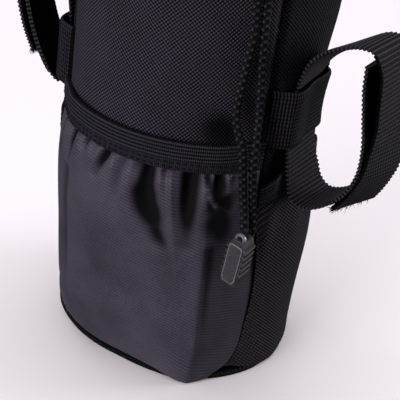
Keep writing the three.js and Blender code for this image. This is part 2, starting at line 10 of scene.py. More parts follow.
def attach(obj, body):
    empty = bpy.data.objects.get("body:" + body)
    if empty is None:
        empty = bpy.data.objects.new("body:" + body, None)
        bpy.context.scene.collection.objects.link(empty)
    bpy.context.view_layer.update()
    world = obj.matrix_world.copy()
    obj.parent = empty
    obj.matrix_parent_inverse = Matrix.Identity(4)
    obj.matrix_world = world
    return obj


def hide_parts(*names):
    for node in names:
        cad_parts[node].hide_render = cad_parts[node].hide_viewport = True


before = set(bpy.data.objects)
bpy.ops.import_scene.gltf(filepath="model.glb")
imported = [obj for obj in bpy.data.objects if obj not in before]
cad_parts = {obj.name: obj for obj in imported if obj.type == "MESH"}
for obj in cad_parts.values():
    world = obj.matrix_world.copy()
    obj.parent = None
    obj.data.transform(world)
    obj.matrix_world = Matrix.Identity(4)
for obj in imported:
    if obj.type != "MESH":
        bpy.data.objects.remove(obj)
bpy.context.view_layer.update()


def table(columns, *rows):
    """Rows with named columns."""
    kind = namedtuple("Row", columns)
    return [kind(*row) for row in rows]


FOLD = "angle z end_angle end_z height width end_width"
STATION = "reach z twist"
KNOT = "angle radius z"

# Sizes are in metres and angles in degrees. An angle goes round the body, from the front middle to the right.
GAP = 0.0003
BODY_RADIUS = 0.0545
BODY_HEIGHT = 0.19
WALL = 0.004
SEAM_ANGLE = 55.5
SEAM_WIDTH = 0.2
SLOUCH = 0.0035
SLOUCH_HEIGHT = 0.11
BASE_THICKNESS = 0.0024
RIM_HEIGHT = 0.0137
RIM_THICKNESS = 0.0054
WALL_LOW = BASE_THICKNESS + GAP
WALL_HIGH = BODY_HEIGHT - RIM_HEIGHT - GAP
CLOTH = 0.0006
RIM_RADIUS = BODY_RADIUS - WALL / 2
BASE_SAG = 0.0002
SEAM_ROLL = 0.0016
SEAM_SOFT = 0.0018
PANEL_SLACK = 0.0003
LINING_SLACK = 0.0006

# The wall: how it draws in at the base, at the front, under the straps and low at the sides
BASE_ROUND = Sizes(depth=0.0035, height=0.014)
FRONT_FLAT = Sizes(depth=0.003, angle=-6, width=26, height=0.095)
STRAP_WAIST = Sizes(depth=0.0046, angle=95, front=24, back=23, z=0.12, above=0.027, below=0.022)
SIDE_TAPER = Sizes(depth=0.003, start=45, end=85, height=0.07)

# Outline of the base
BASE_EDGE = table(
    "angle radius",
    (-180, 0.0515), (-110, 0.052), (-64, 0.054), (-36, 0.0522), (-5, 0.051), (16, 0.054), (30, 0.0574),
    (45, 0.0572), (61, 0.0568), (75, 0.0554), (92, 0.053), (115, 0.0517), (180, 0.0515),
)

# Front pocket: its side seam, how far it stands off the wall, the bulge of its two box corners and where the
# right corner's crease runs
POCKET = table(
    "z seam lift left right crease",
    (0.0042, 41, 0.0016, 0, 0, 33.4),
    (0.009, 49.5, 0.0018, 0.0016, 0.0064, 33.2),
    (0.02, 55.5, 0.0022, 0.0034, 0.0066, 33),
    (0.045, 58.5, 0.003, 0.0038, 0.006, 33.2),
    (0.068, 57, 0.0044, 0.0026, 0.0048, 33.4),
    (0.084, 56, 0.005, 0.001, 0.003, 33),
    (0.095, 55.5, 0.0044, 0.0002, 0.0012, 32),
    (0.101, 55.5, 0.003, 0, 0, 31),
)
POCKET_TUCK = 0.0022
POCKET_HUG = 8
POCKET_SINK = 0.0022
POCKET_SHADE_DEPTH = 0.0024
PANEL_SHADE_DEPTH = 0.0026
CORNER = Sizes(left=-28, middle=3, limit=58, inner=2.4, outer=2)
CORNER_HEM = Sizes(angle=32, width=13, drop=0.0036, out=0.0024, fall=9, height=0.018)
HEM_BLEND = 0.026
HEM_LIP = 0.0004
POCKET_SLACK = 0.0003
TUCKS = Sizes(depth=0.0005, low=0.088, high=0.1)

# Folds run from one place to another. Their height stands out from the cloth, or sinks in below 0.
POCKET_FOLDS = table(
    FOLD,
    (-44, 0.103, -43, 0.086, -0.0026, 0.0014, 0.002),
    (-32.4, 0.104, -33, 0.0875, -0.0046, 0.0015, 0.0013),
    (-27, 0.102, -26.5, 0.09, 0.0006, 0.0012, 0.0014),
    (-23, 0.104, -23.3, 0.097, -0.0038, 0.0011, 0.0011),
    (-10, 0.104, -15.8, 0.0895, -0.0038, 0.0013, 0.002),
    (-2.5, 0.103, -7.5, 0.076, -0.0012, 0.0015, 0.003),
    (4.2, 0.104, 4.5, 0.098, -0.0018, 0.0013, 0.0015),
    (8.6, 0.105, 7.4, 0.083, -0.0046, 0.0018, 0.0042),
    (7.6, 0.0875, 14.8, 0.0705, -0.0042, 0.0042, 0.0044),
    (14, 0.0715, 21, 0.0605, -0.0012, 0.0026, 0.002),
    (15.1, 0.104, 15.3, 0.0985, -0.0026, 0.0011, 0.0012),
    (17.4, 0.102, 21.6, 0.064, 0.001, 0.001, 0.0013),
    (25.2, 0.105, 26, 0.07, -0.0048, 0.0026, 0.0032),
    (30.2, 0.103, 32.4, 0.088, 0.0012, 0.0011, 0.0013),
    (36, 0.1, 42, 0.093, -0.0036, 0.0056, 0.0056),
    (34.4, 0.1045, 34.8, 0.096, 0.0036, 0.0011, 0.0016),
    (40.6, 0.1045, 41.2, 0.0945, 0.0036, 0.0011, 0.0018),
    (32.6, 0.096, 36.4, 0.0885, 0.001, 0.0008, 0.0009),
    (36.4, 0.0885, 43.6, 0.0842, 0.001, 0.0009, 0.0008),
    (36.8, 0.0885, 46, 0.086, -0.0024, 0.0048, 0.006),
    (37, 0.0795, 46, 0.076, -0.0024, 0.005, 0.0066),
    (40, 0.072, 41, 0.044, -0.0011, 0.006, 0.007),
    (35.4, 0.068, 35.2, 0.008, -0.0013, 0.0023, 0.0023),
    (-34, 0.082, -34.5, 0.014, -0.0013, 0.0034, 0.004),
    (33.4, 0.0925, 39, 0.0835, 0.0012, 0.0007, 0.0008),
    (47.5, 0.103, 49, 0.088, -0.002, 0.0015, 0.0022),
    (-20, 0.05, 8, 0.034, -0.0005, 0.006, 0.009),
    (18, 0.058, 27, 0.03, -0.0006, 0.004, 0.006),
    (-12, 0.02, 20, 0.012, 0.0004, 0.004, 0.004),
)
PANEL_FOLDS = table(
    FOLD,
    (36, 0.1185, 50, 0.115, -0.0026, 0.0085, 0.0085),
    (-30, 0.165, 10, 0.15, -0.0006, 0.012, 0.016),
    (-16, 0.12, 14, 0.128, 0.0003, 0.008, 0.008),
    (66, 0.15, 74, 0.142, -0.0009, 0.006, 0.009),
    (120, 0.15, 150, 0.12, -0.0008, 0.012, 0.016),
    (170, 0.09, 215, 0.07, -0.0009, 0.014, 0.016),
    (225, 0.15, 245, 0.135, -0.0008, 0.012, 0.012),
    (140, 0.04, 190, 0.035, -0.0006, 0.012, 0.014),
)
SIDE_FOLDS = table(
    FOLD,
    (70, 0.087, 72, 0.066, -0.0006, 0.002, 0.005),
    (84, 0.088, 80, 0.058, 0.0006, 0.003, 0.006),
    (92, 0.088, 90, 0.052, -0.0007, 0.003, 0.006),
    (102, 0.087, 99, 0.064, 0.0005, 0.002, 0.005),
    (66, 0.05, 96, 0.036, -0.0004, 0.006, 0.008),
)

# Elastic band over the front pocket's mouth: ribs along its upper part, stitches along its lower part
BAND_LOW = 0.1013
BAND_HIGH = 0.1143
BAND = 0.0015
BAND_RIB = 0.0004
BAND_RIBS = 5
BAND_STITCHED = 0.4
BAND_STAND = Sizes(middle=0.0017, end=0.0001, hug=(0.62, 0.86))
BAND_RUFFLE = 0.00035
BAND_BLEND = (BAND_LOW - 0.001, BAND_LOW + 0.0006)
BAND_RIB_START = BAND_STITCHED * (BAND_HIGH - BAND_LOW)
BAND_RIB_PITCH = (1 - BAND_STITCHED) * (BAND_HIGH - BAND_LOW) / BAND_RIBS

# Mesh side pockets and the elastic at their mouths
SIDE_HEM = Sizes(near=0.006, far=0.0012, start=62, end=78)
SIDE_BACK = 118
SEAM_STEP = 0.8
SIDE_MOUTH = table(
    "angle low high gape",
    (57, 0.0845, 0.0925, 0),
    (62, 0.087, 0.097, 0.0026),
    (68, 0.089, 0.099, 0.0008),
    (80, 0.0895, 0.0995, 0),
    (100, 0.089, 0.0985, 0),
    (118, 0.086, 0.095, 0),
)
SIDE_BULGE = Sizes(close=0.0013, full=0.0022, rise=(0.02, 0.055), fall=(0.05, 0.088))
SIDE_BAND = 0.001
SIDE_CLOSE = (72, 84)

# Keepers: flat webbing sewn to the wall, each lifted in the middle where a strap passes
WEBBING_WIDTH = 0.025
WEBBING = 0.0016
KEEPER_Z = 0.111
KEEPER_RIB = 0.0011
KEEPER_RIB_HEIGHT = 0.00012
KEEPER_SAG = 0.0022
KEEPER_SAG_ENDS = (63, 72)
KEEPER = table(
    "angle lift",
    (56, -0.0011), (58, 0.0001), (61, 0.002), (63.6, 0.0036), (66, 0.0044), (80, 0.0028), (94, 0.0037),
    (100, 0), (107, 0),
)

# Strap rings: each runs round in an upright plane, from its inner end to its free end
STRAP = 0.0018
STRAP_ANGLE = 80
STRAP_RIB = 0.0019
STRAP_RIB_HEIGHT = 0.0005
STRAP_CUT = -0.0025
STRAP_SHRINK = 0.14
PILE_HEIGHT = 0.0009
PILE_CLEAR = [(5, 7), (16, 18)]
STRAP_SHARES = np.sin(np.radians(np.linspace(-90, 90, 17)))
STRAP_RIGHT = table(
    STATION,
    (0.0814, 0.155, -4), (0.0829, 0.146, 0), (0.0852, 0.134, 0), (0.0874, 0.122, 0), (0.0872, 0.11, 0),
    (0.0836, 0.1005, 0), (0.0774, 0.093, 0), (0.0705, 0.0878, 0), (0.0646, 0.0862, 0),
    (0.06, 0.0888, 0), (0.0574, 0.095, 2), (0.0549, 0.1025, 6), (0.0529, 0.111, 9),
    (0.0523, 0.122, 10), (0.0529, 0.134, 9), (0.0554, 0.142, 4), (0.0596, 0.1486, -4),
    (0.0656, 0.1538, -7), (0.0716, 0.1579, -4), (0.0782, 0.1612, -1), (0.0846, 0.1612, 0),
    (0.0888, 0.154, -2), (0.0904, 0.142, -2), (0.0918, 0.132, 0), (0.0922, 0.121, 6),
    (0.0912, 0.1095, 9), (0.0892, 0.1035, 10), (0.0866, 0.0975, 12), (0.0826, 0.091, 16),
)
STRAP_LEFT = table(
    STATION,
    (0.0776, 0.167, 0), (0.0778, 0.158, 0), (0.0766, 0.148, 0), (0.0744, 0.1385, 0),
    (0.0712, 0.127, 0), (0.067, 0.1165, 0), (0.0626, 0.109, 0), (0.0582, 0.1052, 2),
    (0.0544, 0.1076, 6), (0.0526, 0.113, 9), (0.0523, 0.122, 10), (0.0529, 0.134, 9),
    (0.0548, 0.143, 5), (0.0574, 0.152, 2), (0.0594, 0.161, 0), (0.0628, 0.169, 0), (0.0682, 0.175, 0),
    (0.0744, 0.1764, 0), (0.0794, 0.1728, 0), (0.0816, 0.165, 0), (0.0814, 0.154, 0),
    (0.0796, 0.143, 0), (0.0768, 0.1315, 0), (0.0738, 0.1215, 0), (0.071, 0.114, 0),
)

# Loose threads at the straps' cut ends
FRAY = Sizes(
    hairs=260, sides=4, rings=5, length=(0.0006, 0.003), radius=0.00012, corner=1.8,
    root=0.0004, depth=0.4, lean=(0.5, 0.35), bend=0.3,
)

# The two sides of the body. Gape is the share by which a side pocket's mouth stands open. The straps
# have pile between these stations, on their outside and their inside, and it may reach their side edges too.
# On the left strap's inside the black pile runs the whole ring as painted shade.
SIDES = table(
    "word sign gape strap pile_outside pile_inside pile_edge",
    ("right", 1, 1, STRAP_RIGHT, (0, 6), (20, 28), True),
    # The left strap's inside pile runs the whole ring: painted shade
    ("left", -1, 0.35, STRAP_LEFT, (0, 6), (0, 24), False),
)

# Drawstring: two strands from the rim down to the cord end
CORD_DIAMETER = 0.0034
BRAID_PITCH = 0.0032
BRAID_LOBES = 3
BRAID_DEPTH = 0.16
BRAID_RADIUS = CORD_DIAMETER / 2 * (1 - BRAID_DEPTH / 2)
BRAID_SIDES = 40
BRAID_STEPS = 15
STRANDS = {
    "left": table(
        KNOT,
        (41.2, 0.0574, 0.183), (41.3, 0.058, 0.18), (41.4, 0.0574, 0.175), (42, 0.057, 0.1695),
        (42.3, 0.057, 0.16), (41.2, 0.057, 0.1496), (40.3, 0.0573, 0.139), (39.7, 0.0578, 0.1338),
        (39.8, 0.0588, 0.1262), (41.2, 0.0602, 0.121), (42.8, 0.0612, 0.116), (44, 0.0617, 0.108),
        (45.3, 0.0621, 0.097), (46.2, 0.0634, 0.088), (46.2, 0.0658, 0.0806),
    ),
    "right": table(
        KNOT,
        (45.6, 0.0574, 0.183), (45.6, 0.058, 0.18), (45.7, 0.0574, 0.175), (46.1, 0.057, 0.1695),
        (46.7, 0.057, 0.16), (47.5, 0.057, 0.1494), (48.6, 0.0573, 0.1389), (49.1, 0.058, 0.128),
        (48.6, 0.0596, 0.122), (48.2, 0.0608, 0.117), (48.1, 0.0614, 0.111), (48.7, 0.0618, 0.102),
        (49.7, 0.0623, 0.092), (50.4, 0.0627, 0.085), (50.6, 0.0632, 0.0786), (50.6, 0.0632, 0.0764),
    ),
}

# Cord end: a ribbed plastic clip with a ring at its top
PULL_PLACE = (46, 0.0668, 0.08)
PULL_FACING = -14
PULL_LEAN = 5
PULL_TILT = 3
PULL_LENGTH = 0.0236
PULL_WIDTH = 0.0098
PULL_DEPTH = 0.006
PULL_RING = 0.0026
PULL_HOLE = 0.0013
PULL_RING_FRONT = 0.0014
PULL_SHOULDER = 0.0042
PULL_SLANT = 0.0022
PULL_RIBS = 5
PULL_NOTCH = 0.0011
PULL_PLATE = 0.0008
PULL_BEVEL = 0.00022
PULL_RING_ROWS = 32
PULL_RING_SIDES = 12

# One rib of the clip's edge: the share of the notch it is sunk by and the share of its pitch
PULL_RIB_SHAPE = [(1, 0), (0, 0.2), (0, 0.66), (1, 0.88)]

# Sewing thread. Stitches have a pitch and a length.
THREAD = 0.00028
THREAD_SIDES = 6
THREAD_RINGS = 7
THREAD_END = 0.45
THREAD_SINK = 0.6
BAND_STITCHES = (0.0027, 0.0018)
BAND_STITCH_ROWS = (0.13, 0.29)
SIDE_STITCHES = (0.0026, 0.0019)
KEEPER_STITCHES = (0.0025, 0.0019)
KEEPER_STITCH_ROWS = (58, 59.4, 103.6, 105)
RIM_STITCHES = (0.003, 0.0022)
RIM_STITCH_ROW = Sizes(sink=0.0004, rise=0.0026)
HOLE_STITCHES = (0.0007, 0.00062)
HOLE = Sizes(radius=CORD_DIAMETER * 0.72, drop=0.001, stand=0.0001)

# Pitch of the cloths' patterns
WEAVE_PITCH = 0.0017
MESH_PITCH = 0.0021

# Camera of the photograph
IMAGE_SIDE = 400
FOCAL_PIXELS = 1300
SENSOR = 36
CAMERA_PLACE = (0.1991, -0.4643, 0.3494)
CAMERA_YAW = -22.29
CAMERA_PITCH = 30.09
CAMERA_ROLL = 8.04

# Lamps
LAMP_TARGET = (0, 0, 0.08)
LAMPS = table(
    "name place size power colour",
    ("key", (-0.4, -1.24, 0.42), 0.8, 15, (1, 0.98, 1)),
    ("top", (-0.25, 0.3, 1.5), 1.6, 21, (1, 0.98, 1)),
    ("edge", (0.95, 0.8, 0.32), 0.5, 9, (1, 0.97, 0.99)),
)

# Fineness of the mesh on each piece: its spacing, its steps in a rib, or its columns and rows
PANEL_STEP = 0.001
POCKET_STEP = 0.0007
RIB_STEPS = 6
BAND_GRID = (181, 73)
SIDE_GRID = (81, 101)
SIDE_BAND_GRID = (121, 49)
KEEPER_ROWS = 31


# Curves and shapes

def smoothstep(value, low, high):
    share = np.clip((value - low) / (high - low), 0, 1)
    return share * share * (3 - 2 * share)


def lerp(first, last, share):
    return first + (last - first) * share


def bell(offset, width):
    return np.exp(-((offset / width) ** 2))


def along(rows, field, at):
    """A field of the rows as a smooth function of their first column, without overshoot."""
    x = np.array([row[0] for row in rows], float)
    y = np.array([getattr(row, field) for row in rows], float)
    rise = np.diff(y) / np.diff(x)
    slope = np.zeros(len(x))
    same_way = rise[:-1] * rise[1:] > 0
    pair = rise[:-1] + rise[1:]
    mean = 2 * rise[:-1] * rise[1:] / np.where(same_way, pair, 1)
    slope[1:-1] = np.where(same_way, mean, 0)
    at = np.clip(at, x[0], x[-1])
    before = np.clip(np.searchsorted(x, at) - 1, 0, len(x) - 2)
    width = x[before + 1] - x[before]
    share = (at - x[before]) / width
    rest = 1 - share
    return (
        y[before] * (1 + 2 * share) * rest**2
        + y[before + 1] * (1 + 2 * rest) * share**2
        + slope[before] * width * share * rest**2
        - slope[before + 1] * width * share**2 * rest
    )


def walk(points):
    """Length along a line of points, up to each one."""
    return np.concatenate([[0], np.cumsum(np.linalg.norm(np.diff(points, axis=0), axis=1))])


def spline(points, spacing):
    """Points along a smooth curve through the given ones, about evenly spaced, and each one's row number."""
    points = np.array(points, float)
    rows = np.arange(len(points))
    knots = np.concatenate([[0], np.cumsum(np.sqrt(np.linalg.norm(np.diff(points, axis=0), axis=1)))])
    padded = np.concatenate([[2 * points[0] - points[1]], points, [2 * points[-1] - points[-2]]])
    times = np.concatenate([[2 * knots[0] - knots[1]], knots, [2 * knots[-1] - knots[-2]]])

    def at(time):
        i = np.clip(np.searchsorted(knots, time, side="right") - 1, 0, len(knots) - 2)
        t = [times[i + k][:, None] for k in range(4)]
        p = [padded[i + k] for k in range(4)]
        now = time[:, None]

        def between(a, b, start, end):
            return a * (end - now) / (end - start) + b * (now - start) / (end - start)

        a1, a2, a3 = (between(p[k], p[k + 1], t[k], t[k + 1]) for k in range(3))
        b1 = between(a1, a2, t[0], t[2])
        b2 = between(a2, a3, t[1], t[3])
        return between(b1, b2, t[1], t[2])

    fine = np.linspace(0, knots[-1], 60 * len(points))
    walked = walk(at(fine))
    count = max(2, round(walked[-1] / spacing) + 1)
    time = np.interp(np.linspace(0, walked[-1], count), walked, fine)
    return at(time), np.interp(time, knots, rows)


def slouch(z):
    return SLOUCH * (1 - smoothstep(z, 0, SLOUCH_HEIGHT))


def polar(angle, radius, z):
    turn = np.radians(angle)
    x, y, z = np.broadcast_arrays(radius * np.sin(turn) + slouch(z), -radius * np.cos(turn), z)
    return np.stack([x, y, z], -1)


def wall_radius(angle, z):
    side = (angle + 540) % 360 - 180
    sunk = BASE_ROUND.depth * np.maximum(0, 1 - z / BASE_ROUND.height) ** 2
    flat = FRONT_FLAT.depth * bell(side - FRONT_FLAT.angle, FRONT_FLAT.width)
    behind = abs(side) - STRAP_WAIST.angle
    ahead = np.exp(-((behind / STRAP_WAIST.front) ** 4))
    waist = STRAP_WAIST.depth * np.where(behind > 0, bell(behind, STRAP_WAIST.back), ahead)
    above = z - STRAP_WAIST.z
    taper = SIDE_TAPER.depth * smoothstep(abs(side), SIDE_TAPER.start, SIDE_TAPER.end)
    return (
        BODY_RADIUS
        - sunk
        - flat * (1 - smoothstep(z, 0, FRONT_FLAT.height))
        - waist * bell(above, np.where(above > 0, STRAP_WAIST.above, STRAP_WAIST.below))
        - taper * (1 - smoothstep(z, 0, SIDE_TAPER.height))
    )


def folds(rows, angle, z):
    """Height of all the folds at a place, each as wide as its two ends say and fading towards its end."""
    height = 0
    for fold in rows:
        x = np.radians(angle - fold.angle) * BODY_RADIUS
        y = z - fold.z
        run_x = math.radians(fold.end_angle - fold.angle) * BODY_RADIUS
        run_y = fold.end_z - fold.z
        share = np.clip((x * run_x + y * run_y) / (run_x**2 + run_y**2), 0, 1)
        away = np.hypot(x - share * run_x, y - share * run_y)
        fade = 1 - 0.75 * smoothstep(share, 0.3, 1)
        height = height + fold.height * fade * bell(away, lerp(fold.width, fold.end_width, share))
    return height


def depth_share(rows, angle, z, deep):
    """How far a place lies in the folds, from 0 on the cloth to 1 at the given depth: the mask of the painted
    shade in the folds.
    """
    return smoothstep(-folds(rows, angle, z), 0, deep)


def ripple(angle, z, size):
    """Slow unevenness of sewn cloth, from a few crossing waves that close round the body."""
    turn = np.radians(angle)
    return size / 3 * (
        np.sin(5 * turn + 70 * z)
        + np.sin(9 * turn - 110 * z + 1.3)
        + np.sin(14 * turn + 160 * z + 0.6)
    )


# Meshes

def strip(a, b, c, d):
    return np.stack([a, b, c, d], -1).reshape(-1, 4)


def facing_out(points, quads):
    a, b, c, d = (points[quads[:, k]] for k in range(4))
    volume = np.sum(a * np.cross(b, c)) + np.sum(a * np.cross(c, d))
    return quads if volume > 0 else quads[:, ::-1]


def wall_uv(angle, level):
    """Cloth coordinates in metres: the way round the wall, and a second one."""
    return np.stack(np.broadcast_arrays(np.radians(angle) * BODY_RADIUS, level), -1)


def grid(across, up, counts):
    """Two grids of values over two ranges, with these numbers of columns and rows."""
    return np.meshgrid(np.linspace(*across, counts[0]), np.linspace(*up, counts[1]))


def add_object(name, data):
    piece = bpy.data.objects.new(name, data)
    bpy.context.scene.collection.objects.link(piece)
    return piece


def dress(piece, node):
    """Put a piece on the body, in place of a node where one is named."""
    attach(piece, "root")
    if node:
        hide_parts(node)
    return piece


def make_piece(name, node, points, quads, uv, materials, inner=None, sharp=50, fold_shade=None):
    """A piece from points and four-sided faces. Faces marked inner take the second material."""
    quads = facing_out(points, quads)
    mesh = bpy.data.meshes.new(name)
    mesh.from_pydata(points.tolist(), [], quads.tolist())
    layer = mesh.uv_layers.new(name="Cloth")
    layer.data.foreach_set("uv", uv.reshape(-1, 2)[quads.ravel()].ravel())
    for material in materials:
        mesh.materials.append(material)
    if inner is not None and len(materials) > 1:
        mesh.polygons.foreach_set("material_index", inner.astype(np.int32))
    mesh.polygons.foreach_set("use_smooth", np.ones(len(quads), bool))
    # Fold depth kept on the points, the mask of the painted shade in the folds
    if fold_shade is not None:
        mesh.attributes.new("fold_shade", "FLOAT", "POINT").data.foreach_set("value", fold_shade)
    mesh.set_sharp_from_angle(angle=math.radians(sharp))
    mesh.update()
    return dress(add_object(name, mesh), node)


def make_shell(name, slot, node, outer, inner, uv, materials,
               outer_rows=False, inner_rows=True, edge_rows=False, fold_shade=None):
    """A closed sheet between two grids of points.

    The marked rows of its outside, its inside and its two side edges take the second material.
    """
    rows, columns = outer.shape[:2]
    near = np.arange(rows * columns).reshape(rows, columns)
    far = near + rows * columns

    def face(n):
        return strip(n[:-1, :-1], n[:-1, 1:], n[1:, 1:], n[1:, :-1])

    rims = [
        strip(far[0, :-1], far[0, 1:], near[0, 1:], near[0, :-1]),
        strip(near[-1, :-1], near[-1, 1:], far[-1, 1:], far[-1, :-1]),
        strip(near[:-1, 0], near[1:, 0], far[1:, 0], far[:-1, 0]),
        strip(far[:-1, -1], far[1:, -1], near[1:, -1], near[:-1, -1]),
    ]
    outside = face(near)
    inside = face(far)[:, ::-1]
    quads = np.concatenate([outside, *rims, inside])
    points = np.concatenate([outer.reshape(-1, 3), inner.reshape(-1, 3)])
    marks = np.zeros(len(quads), bool)
    marks[:len(outside)] = np.repeat(np.broadcast_to(outer_rows, rows - 1), columns - 1)
    marks[-len(inside):] = np.repeat(np.broadcast_to(inner_rows, rows - 1), columns - 1)
    edges = len(outside) + 2 * (columns - 1)
    marks[edges:-len(inside)] = np.tile(np.broadcast_to(edge_rows, rows - 1), 2)
    # The mask of the painted shade in the folds, on both faces of the sheet
    if fold_shade is not None:
        fold_shade = np.concatenate([fold_shade.ravel()] * 2)
    both = np.concatenate([uv, uv])
    return make_piece(name, node, points, quads, both, materials, marks, fold_shade=fold_shade)


def ring_quads(rows, size, closed):
    """Faces between like loops, one after another, and from the last to the first where they close."""
    number = np.arange(rows * size).reshape(rows, size)
    if closed:
        number = np.concatenate([number, number[:1]])
    up = np.roll(number, -1, axis=1)
    return strip(number[:-1], number[1:], up[1:], up[:-1])


def lid_quads(sides):
    """Faces across a loop of points."""
    k = np.arange(sides // 2 - 1)
    return np.stack([k, k + 1, sides - 2 - k, sides - 1 - k], -1)


def make_tubes(name, tubes, material, sides=THREAD_SIDES, node=None):
    """One mesh of round closed tubes. Each has arrays of its rings' centres, two axes and radii."""
    places, faces, marks, total = [], [], [], 0
    turn = np.arange(sides) * 2 * math.pi / sides
    lid = lid_quads(sides)
    for centre, first, second, radius in tubes:
        spread = np.cos(turn)[None, :, None] * first[:, None] + np.sin(turn)[None, :, None] * second[:, None]
        loops = centre[:, None] + spread * radius[:, :, None]
        rows = len(centre)
        girth = turn * np.mean(radius)
        places.append(loops.reshape(-1, 3))
        marks.append(np.stack(np.broadcast_arrays(girth[None, :], walk(centre)[:, None]), -1).reshape(-1, 2))
        last = lid[:, ::-1] + (rows - 1) * sides
        faces.append(np.concatenate([ring_quads(rows, sides, False), lid, last]) + total)
        total += rows * sides
    points, quads, uv = (np.concatenate(parts) for parts in (places, faces, marks))
    return make_piece(name, node, points, quads, uv, [material], sharp=70)


def unit(vectors):
    return vectors / np.linalg.norm(vectors, axis=-1, keepdims=True)


def frames(points, outward):
    """Two axes across a line of points: one to its side and one about outward."""
    ahead = unit(np.gradient(points, axis=0))
    side = unit(np.cross(outward, ahead))
    return side, np.cross(ahead, side)


def radial(points):
    """Direction away from the body's axis, level with the floor."""
    away = points * [1, 1, 0]
    away[:, 0] -= slouch(points[:, 2])
    return unit(away)


def stitch_tubes(path, pitch, length, size=THREAD):
    """Rows of short threads along a line of points, each sunk at its two ends."""
    run = walk(path)
    share = np.linspace(0, 1, THREAD_RINGS)
    arch = np.sin(share * math.pi)
    thick = size * lerp(THREAD_END, 1, arch)
    tubes = []
    for start in np.arange(pitch / 2, run[-1] - length, pitch):
        at = start + share * length
        centre = np.stack([np.interp(at, run, path[:, k]) for k in range(3)], -1)
        outward = radial(centre)
        centre = centre + outward * (size * (arch - THREAD_SINK))[:, None]
        side, up = frames(centre, outward)
        tubes.append((centre, side, up, np.repeat(thick[:, None], THREAD_SIDES, axis=1)))
    return tubes


# Materials

class Shader:
    """One material's nodes. An input is a socket, or a plain value set on the socket itself."""

    def __init__(self, name, **sockets):
        self.material = bpy.data.materials.new(name)
        self.material.use_nodes = True
        self.tree = self.material.node_tree
        self.surface = self.tree.nodes["Principled BSDF"]
        for socket, value in sockets.items():
            self.surface.inputs[socket.replace("_", " ")].default_value = value
        place = self.tree.nodes.new("ShaderNodeTexCoord")
        self.place = place.outputs["Object"]
        split = self.node("ShaderNodeSeparateXYZ", place.outputs["UV"])
        self.u, self.v = split.outputs[0], split.outputs[1]

    def put(self, socket, value):
        if isinstance(value, bpy.types.NodeSocket):
            self.tree.links.new(value, socket)
        else:
            socket.default_value = value

    def node(self, kind, *inputs, **settings):
        node = self.tree.nodes.new(kind)
        for key, value in settings.items():
            setattr(node, key, value)
        for socket, value in zip(node.inputs, inputs):
            self.put(socket, value)
        return node

    def math(self, operation, *inputs):
        return self.node("ShaderNodeMath", *inputs, operation=operation).outputs[0]

    def add(self, first, second):
        return self.math("ADD", first, second)

    def times(self, first, second):
        return self.math("MULTIPLY", first, second)

    def wave(self, value, pitch):
        """A wave from -1 to 1 along a coordinate."""
        return self.math("SINE", self.times(value, 2 * math.pi / pitch))

    def slant(self, lean):
        """A coordinate across lines that lean by this much."""
        return self.add(self.v, self.times(self.u, lean))

    def noise(self, size, detail=2):
        node = self.node("ShaderNodeTexNoise", self.place)
        node.inputs["Scale"].default_value = 1 / size
        node.inputs["Detail"].default_value = detail
        return node.outputs["Fac"]

    def fold_shade(self):
        """How deep the cloth lies in a fold, from 0 to 1: the mask of the painted shade in the folds."""
        return self.node("ShaderNodeAttribute", attribute_name="fold_shade").outputs["Fac"]

    def shaded_in_folds(self, share):
        """The share of light colour, less where the cloth lies deep in a fold: painted shade in the folds."""
        return self.times(share, self.math("SUBTRACT", 1, self.fold_shade()))

    def spread(self, value, low, high):
        """A value from low to high as the given one goes from 0 to 1."""
        node = self.node("ShaderNodeMapRange", value)
        node.inputs["To Min"].default_value = low
        node.inputs["To Max"].default_value = high
        return node.outputs[0]

    def colour(self, share, dark, light):
        node = self.node("ShaderNodeMix", share, data_type="RGBA")
        for socket in node.inputs:
            if socket.type == "RGBA":
                socket.default_value = (*(dark if socket.name == "A" else light), 1)
        result = next(s for s in node.outputs if s.type == "RGBA")
        self.put(self.surface.inputs["Base Color"], result)

    def finish(self, share, dark, light, rough, bump):
        """Colour by a share, roughness by a share from low to high, and bump by a height and its depth."""
        self.colour(share, dark, light)
        self.put(self.surface.inputs["Roughness"], self.spread(*rough))
        height, depth = bump
        node = self.node("ShaderNodeBump")
        node.inputs["Distance"].default_value = depth
        self.put(node.inputs["Height"], height)
        self.put(self.surface.inputs["Normal"], node.outputs[0])
        return self.material


def make_weave(name, dark, light):
    """Coarse padded cloth: dots of thread in rows that are set off by half a dot, with painted shade in its
    folds.
    """
    shader = Shader(name, Specular_IOR_Level=0.1)
    dots = shader.times(shader.wave(shader.u, WEAVE_PITCH), shader.wave(shader.v, WEAVE_PITCH))
    thread = shader.wave(shader.slant(0.3), WEAVE_PITCH / 4)
    worn = shader.add(shader.times(shader.noise(0.014), 0.3), shader.times(shader.noise(0.0007), 0.6))
    # Painted shade: the colour darkens where the cloth lies deep in a fold
    share = shader.shaded_in_folds(shader.add(dots, shader.add(worn, -0.05)))
    height = shader.add(dots, shader.times(thread, 0.2))
    return shader.finish(share, dark, light, (worn, 0.65, 0.95), (height, 0.0004))


def make_lining():
    """Smooth dark cloth inside the body."""
    shader = Shader("lining", Sheen_Weight=0.05, Specular_IOR_Level=0.3)
    fine = shader.times(shader.wave(shader.u, 0.0008), shader.wave(shader.v, 0.0008))
    share = shader.add(shader.times(fine, 0.2), shader.noise(0.01))
    dark, light = (0.008, 0.0076, 0.01), (0.026, 0.024, 0.03)
    return shader.finish(share, dark, light, (share, 0.5, 0.75), (fine, 0.0001))


